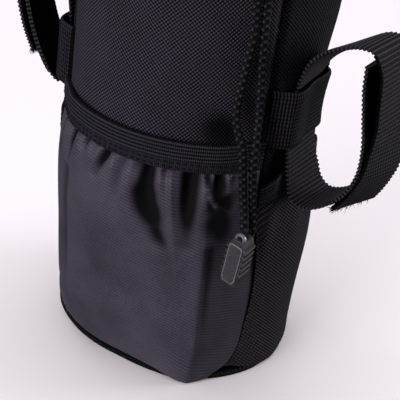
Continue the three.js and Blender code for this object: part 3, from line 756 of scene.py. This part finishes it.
def make_nylon():
    """Thin pocket cloth with a soft shine and fine slanted lines, and painted shade in its folds."""
    shader = Shader("nylon", Specular_IOR_Level=0.16)
    lines = shader.wave(shader.slant(0.22), 0.0014)
    cross = shader.wave(shader.slant(-1.2), 0.0017)
    height = shader.add(shader.times(lines, 0.6), shader.times(cross, 0.1))
    tone = shader.add(shader.times(shader.noise(0.02), 0.4), shader.times(shader.noise(0.0006), 0.4))
    # Painted shade: the colour darkens where the cloth lies deep in a fold
    share = shader.shaded_in_folds(shader.add(tone, shader.times(height, 0.14)))
    rough = shader.add(shader.times(tone, 0.4), shader.times(shader.fold_shade(), 0.8))
    dark, light = (0.0034, 0.0029, 0.0048), (0.148, 0.127, 0.176)
    return shader.finish(share, dark, light, (rough, 0.4, 1), (height, 0.00006))


def make_mesh_cloth():
    """Side pocket cloth knitted with rows of small holes."""
    shader = Shader("mesh", Specular_IOR_Level=0.15)
    across = shader.wave(shader.add(shader.u, shader.times(shader.v, 0.35)), MESH_PITCH)
    holes = shader.times(across, shader.wave(shader.slant(0.2), MESH_PITCH))
    share = shader.add(shader.times(holes, 0.75), shader.noise(0.0009))
    dark, light = (0.0018, 0.0015, 0.0022), (0.05, 0.043, 0.057)
    return shader.finish(share, dark, light, (share, 0.7, 0.9), (holes, 0.0005))


def make_elastic():
    """Ribbed elastic, darker between its ribs as painted shade in the grooves, with short threads across
    them.
    """
    shader = Shader("elastic", Specular_IOR_Level=0.15)
    across = shader.wave(shader.u, 0.0008)
    ribs = shader.wave(shader.add(shader.v, BAND_RIB_PITCH / 4 - BAND_RIB_START), BAND_RIB_PITCH)
    ribs = shader.times(ribs, shader.math("GREATER_THAN", shader.v, BAND_RIB_START))
    tone = shader.add(shader.times(across, 0.15), shader.noise(0.001))
    # Painted shade in the grooves between the ribs
    share = shader.add(tone, shader.times(ribs, -0.8))
    height = shader.add(across, shader.noise(0.0006))
    dark, light = (0.001, 0.0009, 0.0016), (0.033, 0.0295, 0.044)
    return shader.finish(share, dark, light, (tone, 0.6, 0.85), (height, 0.0001))


def make_webbing(name, rib, light, thread=0.0011, dashes=0.12, depth=1.2):
    """Woven strap, darker between its cross ribs as painted shade in their grooves, with threads that run
    over them.
    """
    shader = Shader(name, Specular_IOR_Level=0.15)
    threads = shader.wave(shader.u, thread)
    ribs = shader.wave(shader.add(shader.v, rib / 4), rib)
    tone = shader.add(shader.times(threads, dashes), shader.times(shader.noise(0.0013), 0.8))
    # Painted shade in the grooves between the cross ribs
    share = shader.add(tone, shader.times(shader.add(ribs, -0.42), depth))
    height = shader.add(threads, shader.noise(0.0007))
    return shader.finish(share, (0.0006, 0.0005, 0.0009), light, (tone, 0.6, 0.85), (height, 0.00012))


def make_pile_and_shade():
    """Black looped pile on the straps' inner face; over the whole inside of the left strap it is a painted
    shade.
    """
    shader = Shader("pile", Specular_IOR_Level=0.03)
    loops = shader.noise(0.0006, 3)
    dark, light = (0.0006, 0.0006, 0.001), (0.003, 0.003, 0.0045)
    return shader.finish(loops, dark, light, (loops, 0.9, 1), (loops, 0.0006))


def make_braid():
    """Round braided cord with a painted highlight on the top of each bump of the braid, brighter here and
    there by random tone.
    """
    shader = Shader("braid", Specular_IOR_Level=0.15)
    around = shader.math("COSINE", shader.times(shader.u, BRAID_LOBES / BRAID_RADIUS))
    wind = shader.math("COSINE", shader.times(shader.v, 2 * math.pi / BRAID_PITCH))
    tone = shader.add(shader.times(shader.noise(0.0006), 0.7), shader.times(shader.noise(0.004), 0.4))
    # Painted highlight on the tops of the braid's bumps, with random tone
    share = shader.add(shader.times(shader.times(around, wind), 0.9), shader.add(tone, -0.75))
    dark, light = (0.002, 0.0018, 0.0028), (0.062, 0.057, 0.078)
    return shader.finish(share, dark, light, (tone, 0.55, 0.8), (shader.noise(0.0003), 0.0001))


def make_thread(name, dark, light):
    """Twisted sewing thread."""
    shader = Shader(name, Specular_IOR_Level=0.2)
    twist = shader.wave(shader.slant(1), 0.0004)
    share = shader.spread(twist, 0.2, 0.9)
    return shader.finish(share, dark, light, (twist, 0.5, 0.7), (twist, 0.00005))


def make_plastic(name, dark, light):
    """Grey plastic that lets a little light through, scuffed all over."""
    shader = Shader(name, Specular_IOR_Level=0.5, Transmission_Weight=0.25)
    scuff = shader.noise(0.0012, 4)
    return shader.finish(scuff, dark, light, (scuff, 0.28, 0.5), (scuff, 0.00004))


def make_floor_paint():
    """Pale matt studio floor."""
    shader = Shader("floor", Roughness=0.7, Specular_IOR_Level=0.15, Emission_Strength=0.11)
    shader.surface.inputs["Emission Color"].default_value = (1, 0.9, 0.95, 1)
    shader.colour(shader.noise(0.3), (0.84, 0.795, 0.845), (0.87, 0.83, 0.875))
    return shader.material


WEAVE = make_weave("weave", (0.0045, 0.004, 0.006), (0.09, 0.08, 0.112))
# A darker copy of the weave for the back panel: painted shade on the sides and back, which face away from the
# key lamp
SHADED_SIDE_WEAVE = make_weave("shaded_side_weave", (0.001, 0.0009, 0.0014), (0.032, 0.028, 0.041))
LINING = make_lining()
NYLON = make_nylon()
MESH = make_mesh_cloth()
ELASTIC = make_elastic()
WEB = make_webbing("webbing", STRAP_RIB, (0.037, 0.032, 0.045), depth=2.6)
KEEPER_WEB = make_webbing("keeper_webbing", KEEPER_RIB, (0.03, 0.026, 0.037), 0.0017, 0.4)
PILE_AND_SHADE = make_pile_and_shade()
BRAID = make_braid()
STITCH = make_thread("thread", (0.004, 0.0036, 0.0055), (0.026, 0.0235, 0.031))
DARK_STITCH = make_thread("dark_thread", (0.0006, 0.0005, 0.0009), (0.004, 0.0036, 0.005))
BINDING = make_webbing("binding", 0.0009, (0.008, 0.007, 0.0095))
PLASTIC = make_plastic("plastic", (0.012, 0.011, 0.015), (0.05, 0.047, 0.058))
PLATE = make_plastic("plastic_plate", (0.02, 0.0185, 0.024), (0.085, 0.079, 0.098))
# Light grey on the clip's plate borders, its ring and one face of each rib: a painted highlight
PLASTIC_HIGHLIGHT = make_plastic("plastic_highlight", (0.09, 0.083, 0.105), (0.28, 0.262, 0.315))


# Camera and cords

def placed(place, *turns):
    """A place, and turns about axes in degrees."""
    matrix = Matrix.Translation(place)
    for axis, angle in turns:
        matrix = matrix @ Matrix.Rotation(math.radians(angle), 4, axis)
    return matrix


def make_camera():
    data = bpy.data.cameras.new("photo_camera")
    data.sensor_width = SENSOR
    data.sensor_fit = "HORIZONTAL"
    data.lens = FOCAL_PIXELS / IMAGE_SIDE * SENSOR
    camera = add_object("photo_camera", data)
    turns = ("Z", -CAMERA_YAW), ("X", 90 - CAMERA_PITCH), ("Z", CAMERA_ROLL)
    camera.matrix_world = placed(CAMERA_PLACE, *turns)
    bpy.context.scene.camera = camera


def make_strand(word):
    """Braided cord: threads wind both ways round it, over and under each other."""
    centre, _ = spline([polar(*knot) for knot in STRANDS[word]], BRAID_PITCH / BRAID_STEPS)
    run = np.arange(len(centre)) * np.linalg.norm(centre[1] - centre[0])
    side, up = frames(centre, radial(centre))
    turn = np.arange(BRAID_SIDES) * 2 * math.pi / BRAID_SIDES
    wind = run[:, None] * 2 * math.pi / BRAID_PITCH
    cross = np.cos(turn[None, :] * BRAID_LOBES) * np.cos(wind)
    tubes = [(centre, -up, side, BRAID_RADIUS * (1 + BRAID_DEPTH * cross))]
    strand = make_tubes(f"drawstring_{word}", tubes, BRAID, BRAID_SIDES, f"cord_strand_{word}")


def mirrored(right):
    """An outline from its right half."""
    return right + [(-x, y) for x, y in reversed(right)]


def pull_half():
    """Right half of the clip's outline, from its foot to its shoulder, hanging down from the ring's top."""
    half = PULL_WIDTH / 2
    shoulder = -PULL_SHOULDER
    foot = -PULL_LENGTH
    first_rib = foot + PULL_LENGTH / 5
    pitch = (shoulder - PULL_NOTCH - first_rib) / PULL_RIBS
    points = [(half * 0.5, foot), (half * 0.85, foot + 1.5 * PULL_NOTCH)]
    for i in range(PULL_RIBS):
        low = first_rib + i * pitch
        points += [(half - PULL_NOTCH * sunk, low + pitch * rise) for sunk, rise in PULL_RIB_SHAPE]
    return points + [(half - PULL_NOTCH, shoulder - PULL_NOTCH), (PULL_RING, shoulder + PULL_NOTCH)]


def plate_half(inset):
    """Right half of the outline of the plate on the clip's face."""
    wide = PULL_WIDTH / 2 - PULL_NOTCH - PULL_PLATE / 2 - inset
    low = -PULL_LENGTH + 1.5 * PULL_PLATE + inset
    high = -PULL_SHOULDER - PULL_PLATE - inset
    return [(wide * 0.7, low), (wide, low + 2 * PULL_PLATE), (wide, high - PULL_PLATE), (wide * 0.8, high)]


def prism(outline, low, high, slant=0):
    """Points and faces of a flat outline pulled up from low to high. Its low end may lie further up."""
    count = len(outline)
    points = [(x, y + slant, low) for x, y in outline] + [(x, y, high) for x, y in outline]
    faces = [tuple(reversed(range(count))), tuple(range(count, 2 * count))]
    faces += [(k, (k + 1) % count, count + (k + 1) % count, count + k) for k in range(count)]
    return points, faces


def pull_ring():
    """Points and faces of the ring at the clip's top."""
    around = np.linspace(0, 2 * math.pi, PULL_RING_ROWS, endpoint=False)[:, None]
    wire_turn = np.linspace(0, 2 * math.pi, PULL_RING_SIDES, endpoint=False)[None, :]
    wire = (PULL_RING - PULL_HOLE) / 2
    reach = (PULL_RING + PULL_HOLE) / 2 + wire * np.cos(wire_turn)
    front = PULL_RING_FRONT + 1.5 * wire * np.sin(wire_turn)
    x, y = reach * np.sin(around), reach * np.cos(around) - PULL_RING
    points = np.stack(np.broadcast_arrays(x, y, front), -1)
    return points.reshape(-1, 3).tolist(), ring_quads(PULL_RING_ROWS, PULL_RING_SIDES, True).tolist()


def make_pull():
    """The clip: a notched body with an open ring, and a smooth raised plate with a border on each face. The
    borders, the ring and one face of each rib take a lighter plastic as painted highlight.
    """
    materials = PLASTIC, PLATE, PLASTIC_HIGHLIGHT
    half = PULL_DEPTH / 2
    parts = [(prism(mirrored(pull_half()), -half, half, PULL_SLANT), PLASTIC)]
    for face in (1, -1):
        for inset, rise, material in ((0, 1, PLASTIC_HIGHLIGHT), (0.6, 1.3, PLATE)):
            low, high = sorted((face * (half - PULL_PLATE), face * (half + PULL_PLATE * rise / 2)))
            parts.append((prism(mirrored(plate_half(PULL_PLATE * inset)), low, high), material))
    parts.append((pull_ring(), PLASTIC_HIGHLIGHT))
    points, faces, marks = [], [], []
    for (more, shapes), material in parts:
        faces += [tuple(len(points) + c for c in shape) for shape in shapes]
        marks += [materials.index(material)] * len(shapes)
        points += more
    caps_and_foot = 4
    # One face of each rib takes the painted highlight
    for i in range(PULL_RIBS):
        marks[caps_and_foot + len(PULL_RIB_SHAPE) * i + 1] = materials.index(PLASTIC_HIGHLIGHT)
    mesh = bpy.data.meshes.new("cord_clip")
    mesh.from_pydata(points, [], faces)
    place = Vector(polar(*PULL_PLACE))
    mesh.transform(placed(place, ("Z", PULL_FACING), ("X", 90 - PULL_LEAN), ("Z", -PULL_TILT)))
    for material in materials:
        mesh.materials.append(material)
    mesh.polygons.foreach_set("material_index", marks)
    mesh.update()
    pull = add_object("cord_clip", mesh)
    edge = pull.modifiers.new("worn edges", "BEVEL")
    edge.width = PULL_BEVEL
    edge.segments = 2
    edge.angle_limit = math.radians(25)
    return dress(pull, "cord_pull")


# Body

def panel_radius(angle, z, first, last):
    """Outside of a padded panel: it rolls in at the seams and sinks where the cloth is slack."""
    edge = np.radians(np.minimum(angle - first, last - angle)) * BODY_RADIUS
    slack = ripple(angle, z, PANEL_SLACK) - PANEL_SLACK
    return wall_radius(angle, z) + slack + folds(PANEL_FOLDS, angle, z) - SEAM_ROLL * bell(edge, SEAM_SOFT)


def make_panel(name, node, first, last, material):
    columns = round(math.radians(last - first) * BODY_RADIUS / PANEL_STEP)
    rows = round((WALL_HIGH - WALL_LOW) / PANEL_STEP)
    angle, z = grid((first, last), (WALL_LOW, WALL_HIGH), (columns + 1, rows + 1))
    radius = panel_radius(angle, z, first, last)
    share = angle / along(POCKET, "seam", z)
    behind = (abs(share) < 1) & (z < BAND_LOW)
    pressed = pocket_radius(angle, share, z) - CLOTH - GAP
    outer = polar(angle, np.where(behind, np.minimum(radius, pressed), radius), z)
    inner = polar(angle, wall_radius(angle, z) - WALL + ripple(angle * 2, z * 1.4, LINING_SLACK), z)
    # How deep the panel's folds lie, the mask of their painted shade
    fold_shade = depth_share(PANEL_FOLDS, angle, z, PANEL_SHADE_DEPTH)
    materials = [material, LINING]
    panel = make_shell(name, "weave", node, outer, inner, wall_uv(angle, z), materials, fold_shade=fold_shade)


def make_base():
    """Round floor of the body, with a soft edge."""
    columns, rings = 180, 24
    angle = np.linspace(-180, 180, columns, endpoint=False)
    half = BASE_THICKNESS / 2
    turn = np.radians(np.linspace(-90, 90, 9))
    flat = np.zeros(rings)
    inward = np.linspace(0.02, 0.96, rings)
    share = np.concatenate([inward, np.ones(len(turn)), inward[::-1]])
    inset = np.concatenate([flat, half * (1 - np.cos(turn)), flat])
    level = np.concatenate([flat, half + half * np.sin(turn), flat + 2 * half])
    radius = share[:, None] * along(BASE_EDGE, "radius", angle)[None, :] - inset[:, None]
    sag = BASE_SAG * (1 + np.sin(np.radians(angle * 7)))[None, :] * (share * (1 - share))[:, None]
    points = polar(angle[None, :], radius, 0 * radius)
    points[..., 2] = level[:, None] + sag
    points = points.reshape(-1, 3)
    rows = len(share)
    lid = lid_quads(columns)
    quads = np.concatenate([ring_quads(rows, columns, False), lid[:, ::-1], lid + (rows - 1) * columns])
    make_piece("base_cloth", "base_panel", points, quads, points[:, :2], [BINDING])


def make_rim():
    """Drawstring hem: a flattened tube of cloth, puckered by its stitches."""
    columns, size = 420, 32
    angle = np.linspace(0, 360, columns, endpoint=False)[:, None]
    loop = np.radians(np.linspace(0, 360, size, endpoint=False))[None, :]
    turn = np.radians(angle)
    pucker = (np.sin(41 * turn) + np.sin(67 * turn + 1) + np.sin(29 * turn + 2)) / 3
    across = np.sign(np.cos(loop)) * abs(np.cos(loop)) ** 0.7 * RIM_THICKNESS / 2
    up = np.sign(np.sin(loop)) * abs(np.sin(loop)) ** 0.8 * RIM_HEIGHT / 2
    swell = 1 + 0.16 * pucker * np.clip(0.3 - np.sin(loop), 0, 1)
    level = BODY_HEIGHT - RIM_HEIGHT / 2 + up * (1 - 0.02 * abs(pucker))
    points = polar(angle, RIM_RADIUS + across * swell, level).reshape(-1, 3)
    quads = ring_quads(columns, size, True)
    rim = make_piece("rim_hem", "top_rim", points, quads, wall_uv(angle, level), [WEAVE])


# Front pocket

def corner_bulge(angle, z):
    on_right = angle > CORNER.middle
    corner = np.where(on_right, along(POCKET, "crease", z), CORNER.left)
    limit = np.where(on_right, CORNER.limit, -CORNER.limit)
    size = np.where(on_right, along(POCKET, "right", z), along(POCKET, "left", z))
    inner = np.clip((angle - CORNER.middle) / (corner - CORNER.middle), 0, 1)
    outer = np.clip((limit - angle) / (limit - corner), 0, 1)
    return size * np.where(outer < 1, outer**CORNER.outer, inner**CORNER.inner)


def band_stand(share):
    return lerp(BAND_STAND.middle, BAND_STAND.end, smoothstep(abs(share), *BAND_STAND.hug))


def ruffle(angle):
    """How the gathered cloth pushes the elastic's lower edge in and out, from -1 to 1."""
    turn = np.radians(angle)
    return (np.sin(34 * turn + 0.4) + np.sin(53 * turn + 2.1) + 0.6 * np.sin(83 * turn)) / 2.6


def pocket_radius(angle, share, z):
    wall = wall_radius(angle, z)
    sewn = wall + CLOTH + GAP
    tucks = TUCKS.depth * ruffle(angle) * smoothstep(z, TUCKS.low, TUCKS.high)
    relief = folds(POCKET_FOLDS, angle, z) + tucks + ripple(angle * 2, z, POCKET_SLACK)
    free = wall + along(POCKET, "lift", z) + corner_bulge(angle, z) + relief
    full = lerp(free, sewn, abs(share) ** POCKET_HUG)
    hem = along(BASE_EDGE, "radius", angle) + HEM_LIP
    hem = hem + CORNER_HEM.out * np.exp(-abs(angle - CORNER_HEM.angle) / CORNER_HEM.fall)
    lowest = sewn - POCKET_SINK * (1 - abs(share) ** POCKET_HUG)
    radius = np.maximum(lowest, lerp(hem, full, smoothstep(z, POCKET[0].z, HEM_BLEND)))
    behind = np.minimum(radius, wall + band_stand(share) - GAP)
    return lerp(radius, behind, smoothstep(z, *BAND_BLEND))


def hem_drop(angle, z):
    fade = 1 - smoothstep(z, POCKET[0].z, CORNER_HEM.height)
    return CORNER_HEM.drop * fade * bell(angle - CORNER_HEM.angle, CORNER_HEM.width)


def make_front_pocket():
    low = POCKET[0].z
    high = BAND_LOW + POCKET_TUCK
    widest = 2 * math.radians(max(row.seam for row in POCKET)) * BODY_RADIUS
    columns = round(widest / POCKET_STEP)
    rows = round((high - low) / POCKET_STEP)
    share, z = grid((-1, 1), (low, high), (columns + 1, rows + 1))
    angle = share * along(POCKET, "seam", z)
    radius = pocket_radius(angle, share, z)
    outer = polar(angle, radius, z)
    inner = polar(angle, radius - CLOTH, z)
    for face in (outer, inner):
        face[..., 2] = z - hem_drop(angle, z)
    # How deep the pocket's folds lie, the mask of their painted shade
    fold_shade = depth_share(POCKET_FOLDS, angle, z, POCKET_SHADE_DEPTH)
    uv = wall_uv(angle, z)
    pocket = make_shell("pocket_front", "nylon", "front_pocket", outer, inner, uv, [NYLON], fold_shade=fold_shade)


def thin_edges(up, width):
    """1 at a strip's two long edges and 0 between them."""
    return bell(up, width) + bell(up - 1, width)


def band_profile(up):
    """How far the elastic's outside stands out from its middle thickness, at a share of its height."""
    rib = (up - BAND_STITCHED) / (1 - BAND_STITCHED) * BAND_RIBS
    ribs = BAND_RIB * abs(np.sin(np.pi * np.maximum(rib, 0))) ** 0.7
    return np.where(rib > 0, ribs, 0) - 0.5 * BAND * thin_edges(up, 0.03)


def band_place(share, up, lift):
    """A place on the front elastic's outside."""
    angle = share * SEAM_ANGLE
    wave = ruffle(angle) * (1 - up) * (1 - share**6)
    z = lerp(BAND_LOW + BAND_RUFFLE * wave, BAND_HIGH, up)
    stand = band_stand(share) + BAND_RUFFLE * wave * (1 - up)
    return polar(angle, wall_radius(angle, z) + stand + lift, z)


def make_front_elastic():
    share, up = grid((-1, 1), (0, 1), BAND_GRID)
    outer = band_place(share, up, BAND + band_profile(up))
    inner = band_place(share, up, 0)
    uv = wall_uv(share * SEAM_ANGLE, up * (BAND_HIGH - BAND_LOW))
    make_shell("elastic_front", "elastic", "front_elastic", outer, inner, uv, [ELASTIC])
    share = np.linspace(-0.985, 0.985, 200)
    tubes = []
    for up in BAND_STITCH_ROWS:
        tubes += stitch_tubes(band_place(share, up, BAND + THREAD / 8), *BAND_STITCHES, 1.4 * THREAD)
    make_tubes("elastic_front_stitches", tubes, DARK_STITCH)


# Side pockets

def side_hem(angle):
    """Height of the side pocket's lower edge, which goes under the base's edge towards the back."""
    return lerp(SIDE_HEM.near, SIDE_HEM.far, smoothstep(angle, SIDE_HEM.start, SIDE_HEM.end))


def side_pocket_radius(angle, z, side):
    wall = wall_radius(angle, z)
    mouth = smoothstep(z, *SIDE_BULGE.fall)
    gape = along(SIDE_MOUTH, "gape", angle) * side.gape * mouth
    rise = smoothstep(z, *SIDE_BULGE.rise) * (1 - mouth)
    bulge = lerp(SIDE_BULGE.close, SIDE_BULGE.full, rise) + folds(SIDE_FOLDS, angle, z)
    turned_under = smoothstep(angle, SIDE_HEM.start, SIDE_HEM.end)
    hem = along(BASE_EDGE, "radius", side.sign * angle) + lerp(-HEM_LIP, CLOTH + GAP, turned_under)
    free = lerp(hem, wall + bulge, smoothstep(z, side_hem(angle), HEM_BLEND))
    return np.maximum(wall + CLOTH + GAP, free) + gape


def make_side_pocket(side):
    share, up = grid((0, 1), (0, 1), SIDE_GRID)
    rough = lerp(SIDE_MOUTH[0].angle, SIDE_BACK, share)
    z = lerp(side_hem(rough), along(SIDE_MOUTH, "low", rough) - GAP, up)
    angle = lerp(along(POCKET, "seam", z) + SEAM_STEP, SIDE_BACK, share)
    radius = side_pocket_radius(angle, z, side)
    outer = polar(side.sign * angle, radius, z)
    inner = polar(side.sign * angle, radius - CLOTH, z)
    name, node = f"mesh_pocket_{side.word}", f"side_pocket_{side.word}"
    pocket = make_shell(name, "mesh", node, outer, inner, wall_uv(angle, z), [MESH])


def side_band_place(angle, up, lift, side):
    z = lerp(along(SIDE_MOUTH, "low", angle), along(SIDE_MOUTH, "high", angle), up)
    stand = lerp(GAP, -GAP, smoothstep(angle, *SIDE_CLOSE)) + along(SIDE_MOUTH, "gape", angle) * side.gape
    return polar(side.sign * angle, wall_radius(angle, z) + stand + lift, z)


def make_side_elastic(side):
    first = SIDE_MOUTH[0].angle
    angle, up = grid((first, SIDE_BACK), (0, 1), SIDE_BAND_GRID)
    ribs = 0.3 * SIDE_BAND * abs(np.sin(4 * np.pi * up)) ** 0.7
    edge = 0.5 * SIDE_BAND * thin_edges(up, 0.04)
    outer = side_band_place(angle, up, SIDE_BAND + ribs - edge, side)
    inner = side_band_place(angle, up, 0, side)
    name = f"elastic_{side.word}"
    make_shell(name, "elastic", f"side_{name}", outer, inner, wall_uv(angle, up * 0.01), [ELASTIC])
    line = np.linspace(first + 1, SIDE_BACK - 1, 120)
    path = side_band_place(line, 0.12, SIDE_BAND + THREAD / 4, side)
    make_tubes(f"{name}_stitches", stitch_tubes(path, *SIDE_STITCHES), STITCH)


# Keepers and straps

def keeper_place(angle, up, lift, sign):
    low = KEEPER_SAG if sign < 0 else 0
    z = KEEPER_Z - low * (1 - up) * (1 - smoothstep(angle, *KEEPER_SAG_ENDS)) + up * WEBBING_WIDTH
    inside = wall_radius(angle, z) + GAP + along(KEEPER, "lift", angle)
    return polar(sign * angle, inside + lift, z)


def make_keeper(side):
    first, last = KEEPER[0].angle, KEEPER[-1].angle
    columns = round(math.radians(last - first) * BODY_RADIUS / KEEPER_RIB * RIB_STEPS)
    angle, up = grid((first, last), (0, 1), (columns + 1, KEEPER_ROWS))
    ribs = np.cos(np.radians(angle - first) * BODY_RADIUS * 2 * math.pi / KEEPER_RIB)
    edge = 0.35 * WEBBING * thin_edges(up, 0.03)
    outer = keeper_place(angle, up, WEBBING + KEEPER_RIB_HEIGHT * ribs - edge, side.sign)
    inner = keeper_place(angle, up, edge, side.sign)
    uv = wall_uv(angle, up * WEBBING_WIDTH)[..., ::-1]
    node = f"keeper_{side.word}"
    make_shell(f"keeper_web_{side.word}", "webbing", node, outer, inner, uv, [KEEPER_WEB])
    up = np.linspace(0.03, 0.97, 60)
    tubes = []
    for angle in KEEPER_STITCH_ROWS:
        path = keeper_place(np.full(60, angle), up, WEBBING + THREAD / 2, side.sign)
        tubes += stitch_tubes(path, *KEEPER_STITCHES)
    make_tubes(f"{node}_stitches", tubes, DARK_STITCH)


def turned(vectors, axes, angles):
    """Vectors turned about unit axes by angles in degrees."""
    a = np.radians(angles)[:, None]
    along_axis = np.sum(vectors * axes, -1, keepdims=True) * axes
    return vectors * np.cos(a) + np.cross(axes, vectors) * np.sin(a) + along_axis * (1 - np.cos(a))


def strap_face(row, pile, ribs):
    """Half the strap's thickness on one face, along its length and across it, and the rows with pile, which
    on the left strap's inside is painted shade.
    """
    pile_and_shade_rows = (row >= pile[0]) & (row <= pile[1])
    relief = STRAP_RIB_HEIGHT / 2 * np.where(pile_and_shade_rows, 0, ribs)
    edge = 1 - 0.4 * abs(STRAP_SHARES) ** 12
    clear = smoothstep(row, *PILE_CLEAR[0]) * (1 - smoothstep(row, *PILE_CLEAR[1]))
    thick = (STRAP - STRAP_RIB_HEIGHT) / 2 + PILE_HEIGHT * pile_and_shade_rows * (1 - clear)
    return (thick[:, None] * edge[None, :] + relief[:, None])[:, :, None], pile_and_shade_rows[1:]


def make_strap(side):
    """A ring of ribbed strap, with pile where its ends meet and loose threads at its free end. On the left
    strap the black pile covers the whole inside as painted shade.
    """
    turn = math.radians(side.sign * STRAP_ANGLE)
    outward = np.array([math.sin(turn), -math.cos(turn), 0])
    across = side.sign * np.array([math.cos(turn), math.sin(turn), 0])
    route = [outward * s.reach + [0, 0, s.z] for s in side.strap]
    middle, row = spline(route, STRAP_RIB / RIB_STEPS)
    ahead = unit(np.gradient(middle, axis=0))
    twist = side.sign * np.interp(row, np.arange(len(route)), [s.twist for s in side.strap])
    wide = turned(np.repeat(across[None], len(row), axis=0), ahead, twist)
    outside = -side.sign * turned(unit(np.cross(across[None], ahead)), ahead, twist)
    run = np.arange(len(row)) * STRAP_RIB / RIB_STEPS
    ribs = np.cos(run * 2 * math.pi / STRAP_RIB)
    ending = smoothstep(row, row[-1] - 2, row[-1])
    half = WEBBING_WIDTH / 2 * (1 + 0.012 * ribs) * (1 - STRAP_SHRINK * ending)
    cut = side.sign * STRAP_CUT * ending
    shares = STRAP_SHARES[None, :, None]
    spread = wide[:, None] * half[:, None, None] + ahead[:, None] * cut[:, None, None]
    middle_line = middle[:, None] + spread * shares
    thick_out, piled_out = strap_face(row, side.pile_outside, ribs)
    thick_in, pile_and_shade_in = strap_face(row, side.pile_inside, ribs)
    outer = middle_line + outside[:, None] * thick_out
    inner = middle_line - outside[:, None] * thick_in
    uv = np.stack(np.broadcast_arrays(STRAP_SHARES[None, :] * WEBBING_WIDTH / 2, run[:, None]), -1)
    name, node = f"strap_web_{side.word}", f"strap_{side.word}"
    marks = piled_out, pile_and_shade_in, pile_and_shade_in & side.pile_edge
    make_shell(name, "webbing", node, outer, inner, uv, [WEB, PILE_AND_SHADE], *marks)
    make_fray(side.word, middle[-1], wide[-1] * half[-1], outside[-1], ahead[-1], cut[-1])


def make_fray(word, end, wide, outside, ahead, cut):
    """Loose threads at a strap's cut end, more of them towards one corner."""
    rng = np.random.default_rng(7)
    tubes = []
    for _ in range(FRAY.hairs):
        place = 1 - 2 * rng.beta(FRAY.corner, 1)
        deep = outside * rng.uniform(-FRAY.depth, FRAY.depth) * STRAP - ahead * FRAY.root
        root = end + wide * place + ahead * place * cut + deep
        lean = ahead + unit(wide) * rng.normal(0, FRAY.lean[0]) + outside * rng.normal(0, FRAY.lean[1])
        length = rng.uniform(*FRAY.length)
        bend = (unit(wide) * rng.normal(0, 1) + outside * rng.normal(0, 1)) * length * FRAY.bend
        share = np.linspace(0, 1, FRAY.rings)[:, None]
        centre = root + unit(lean) * length * share + bend * share**2
        side, up = frames(centre, np.repeat(unit(wide)[None], FRAY.rings, axis=0))
        radius = np.repeat(FRAY.radius * (1.1 - 0.8 * share), FRAY.sides, axis=1)
        tubes.append((centre, side, up, radius))
    make_tubes(f"strap_fray_{word}", tubes, WEB, FRAY.sides)


# Rim stitches and the worked holes that the strands come out of

def make_rim_stitches():
    outside = RIM_RADIUS + RIM_THICKNESS / 2
    angle = np.linspace(0, 360, 600)
    level = BODY_HEIGHT - RIM_HEIGHT + RIM_STITCH_ROW.rise
    tubes = stitch_tubes(polar(angle, outside - RIM_STITCH_ROW.sink, level), *RIM_STITCHES)
    turn = np.linspace(0, 2 * math.pi, 48)
    for strand in STRANDS.values():
        angle = strand[0].angle + np.degrees(HOLE.radius / BODY_RADIUS) * np.cos(turn)
        level = strand[0].z - HOLE.drop + HOLE.radius * np.sin(turn)
        tubes += stitch_tubes(polar(angle, outside + HOLE.stand, level), *HOLE_STITCHES)
    make_tubes("rim_stitches", tubes, STITCH)


# Floor and light

def make_floor():
    bpy.ops.mesh.primitive_plane_add(size=8)
    floor = bpy.context.object
    floor.name = "studio_floor"
    floor.data.materials.append(make_floor_paint())
    floor.visible_diffuse = False
    floor.visible_glossy = False


def make_lamp(lamp):
    data = bpy.data.lights.new(lamp.name, "AREA")
    data.size = lamp.size
    data.energy = lamp.power
    data.color = lamp.colour
    light = add_object(lamp.name, data)
    light.location = lamp.place
    light.rotation_mode = "QUATERNION"
    light.rotation_quaternion = (Vector(LAMP_TARGET) - Vector(lamp.place)).to_track_quat("-Z", "Y")


def make_sky():
    scene = bpy.context.scene
    scene.view_settings.view_transform = "Standard"
    scene.world = bpy.data.worlds.new("studio")
    scene.world.use_nodes = True
    sky = scene.world.node_tree.nodes["Background"]
    sky.inputs["Color"].default_value = (1, 0.98, 1, 1)
    sky.inputs["Strength"].default_value = 0.11


make_camera()
PULL = make_pull()
for strand_name in STRANDS:
    make_strand(strand_name)
make_base()
make_panel("panel_front", "front_panel", -SEAM_ANGLE + SEAM_WIDTH, SEAM_ANGLE - SEAM_WIDTH, WEAVE)
# The back panel takes the darker copy of the weave, which paints its shade
make_panel("panel_back", "back_panel", SEAM_ANGLE + SEAM_WIDTH, 360 - SEAM_ANGLE - SEAM_WIDTH, SHADED_SIDE_WEAVE)
make_rim()
make_rim_stitches()
make_front_pocket()
make_front_elastic()
for body_side in SIDES:
    make_side_pocket(body_side)
    make_side_elastic(body_side)
    make_keeper(body_side)
    make_strap(body_side)
make_floor()
make_sky()
for studio_lamp in LAMPS:
    make_lamp(studio_lamp)

bpy.context.view_layer.update()
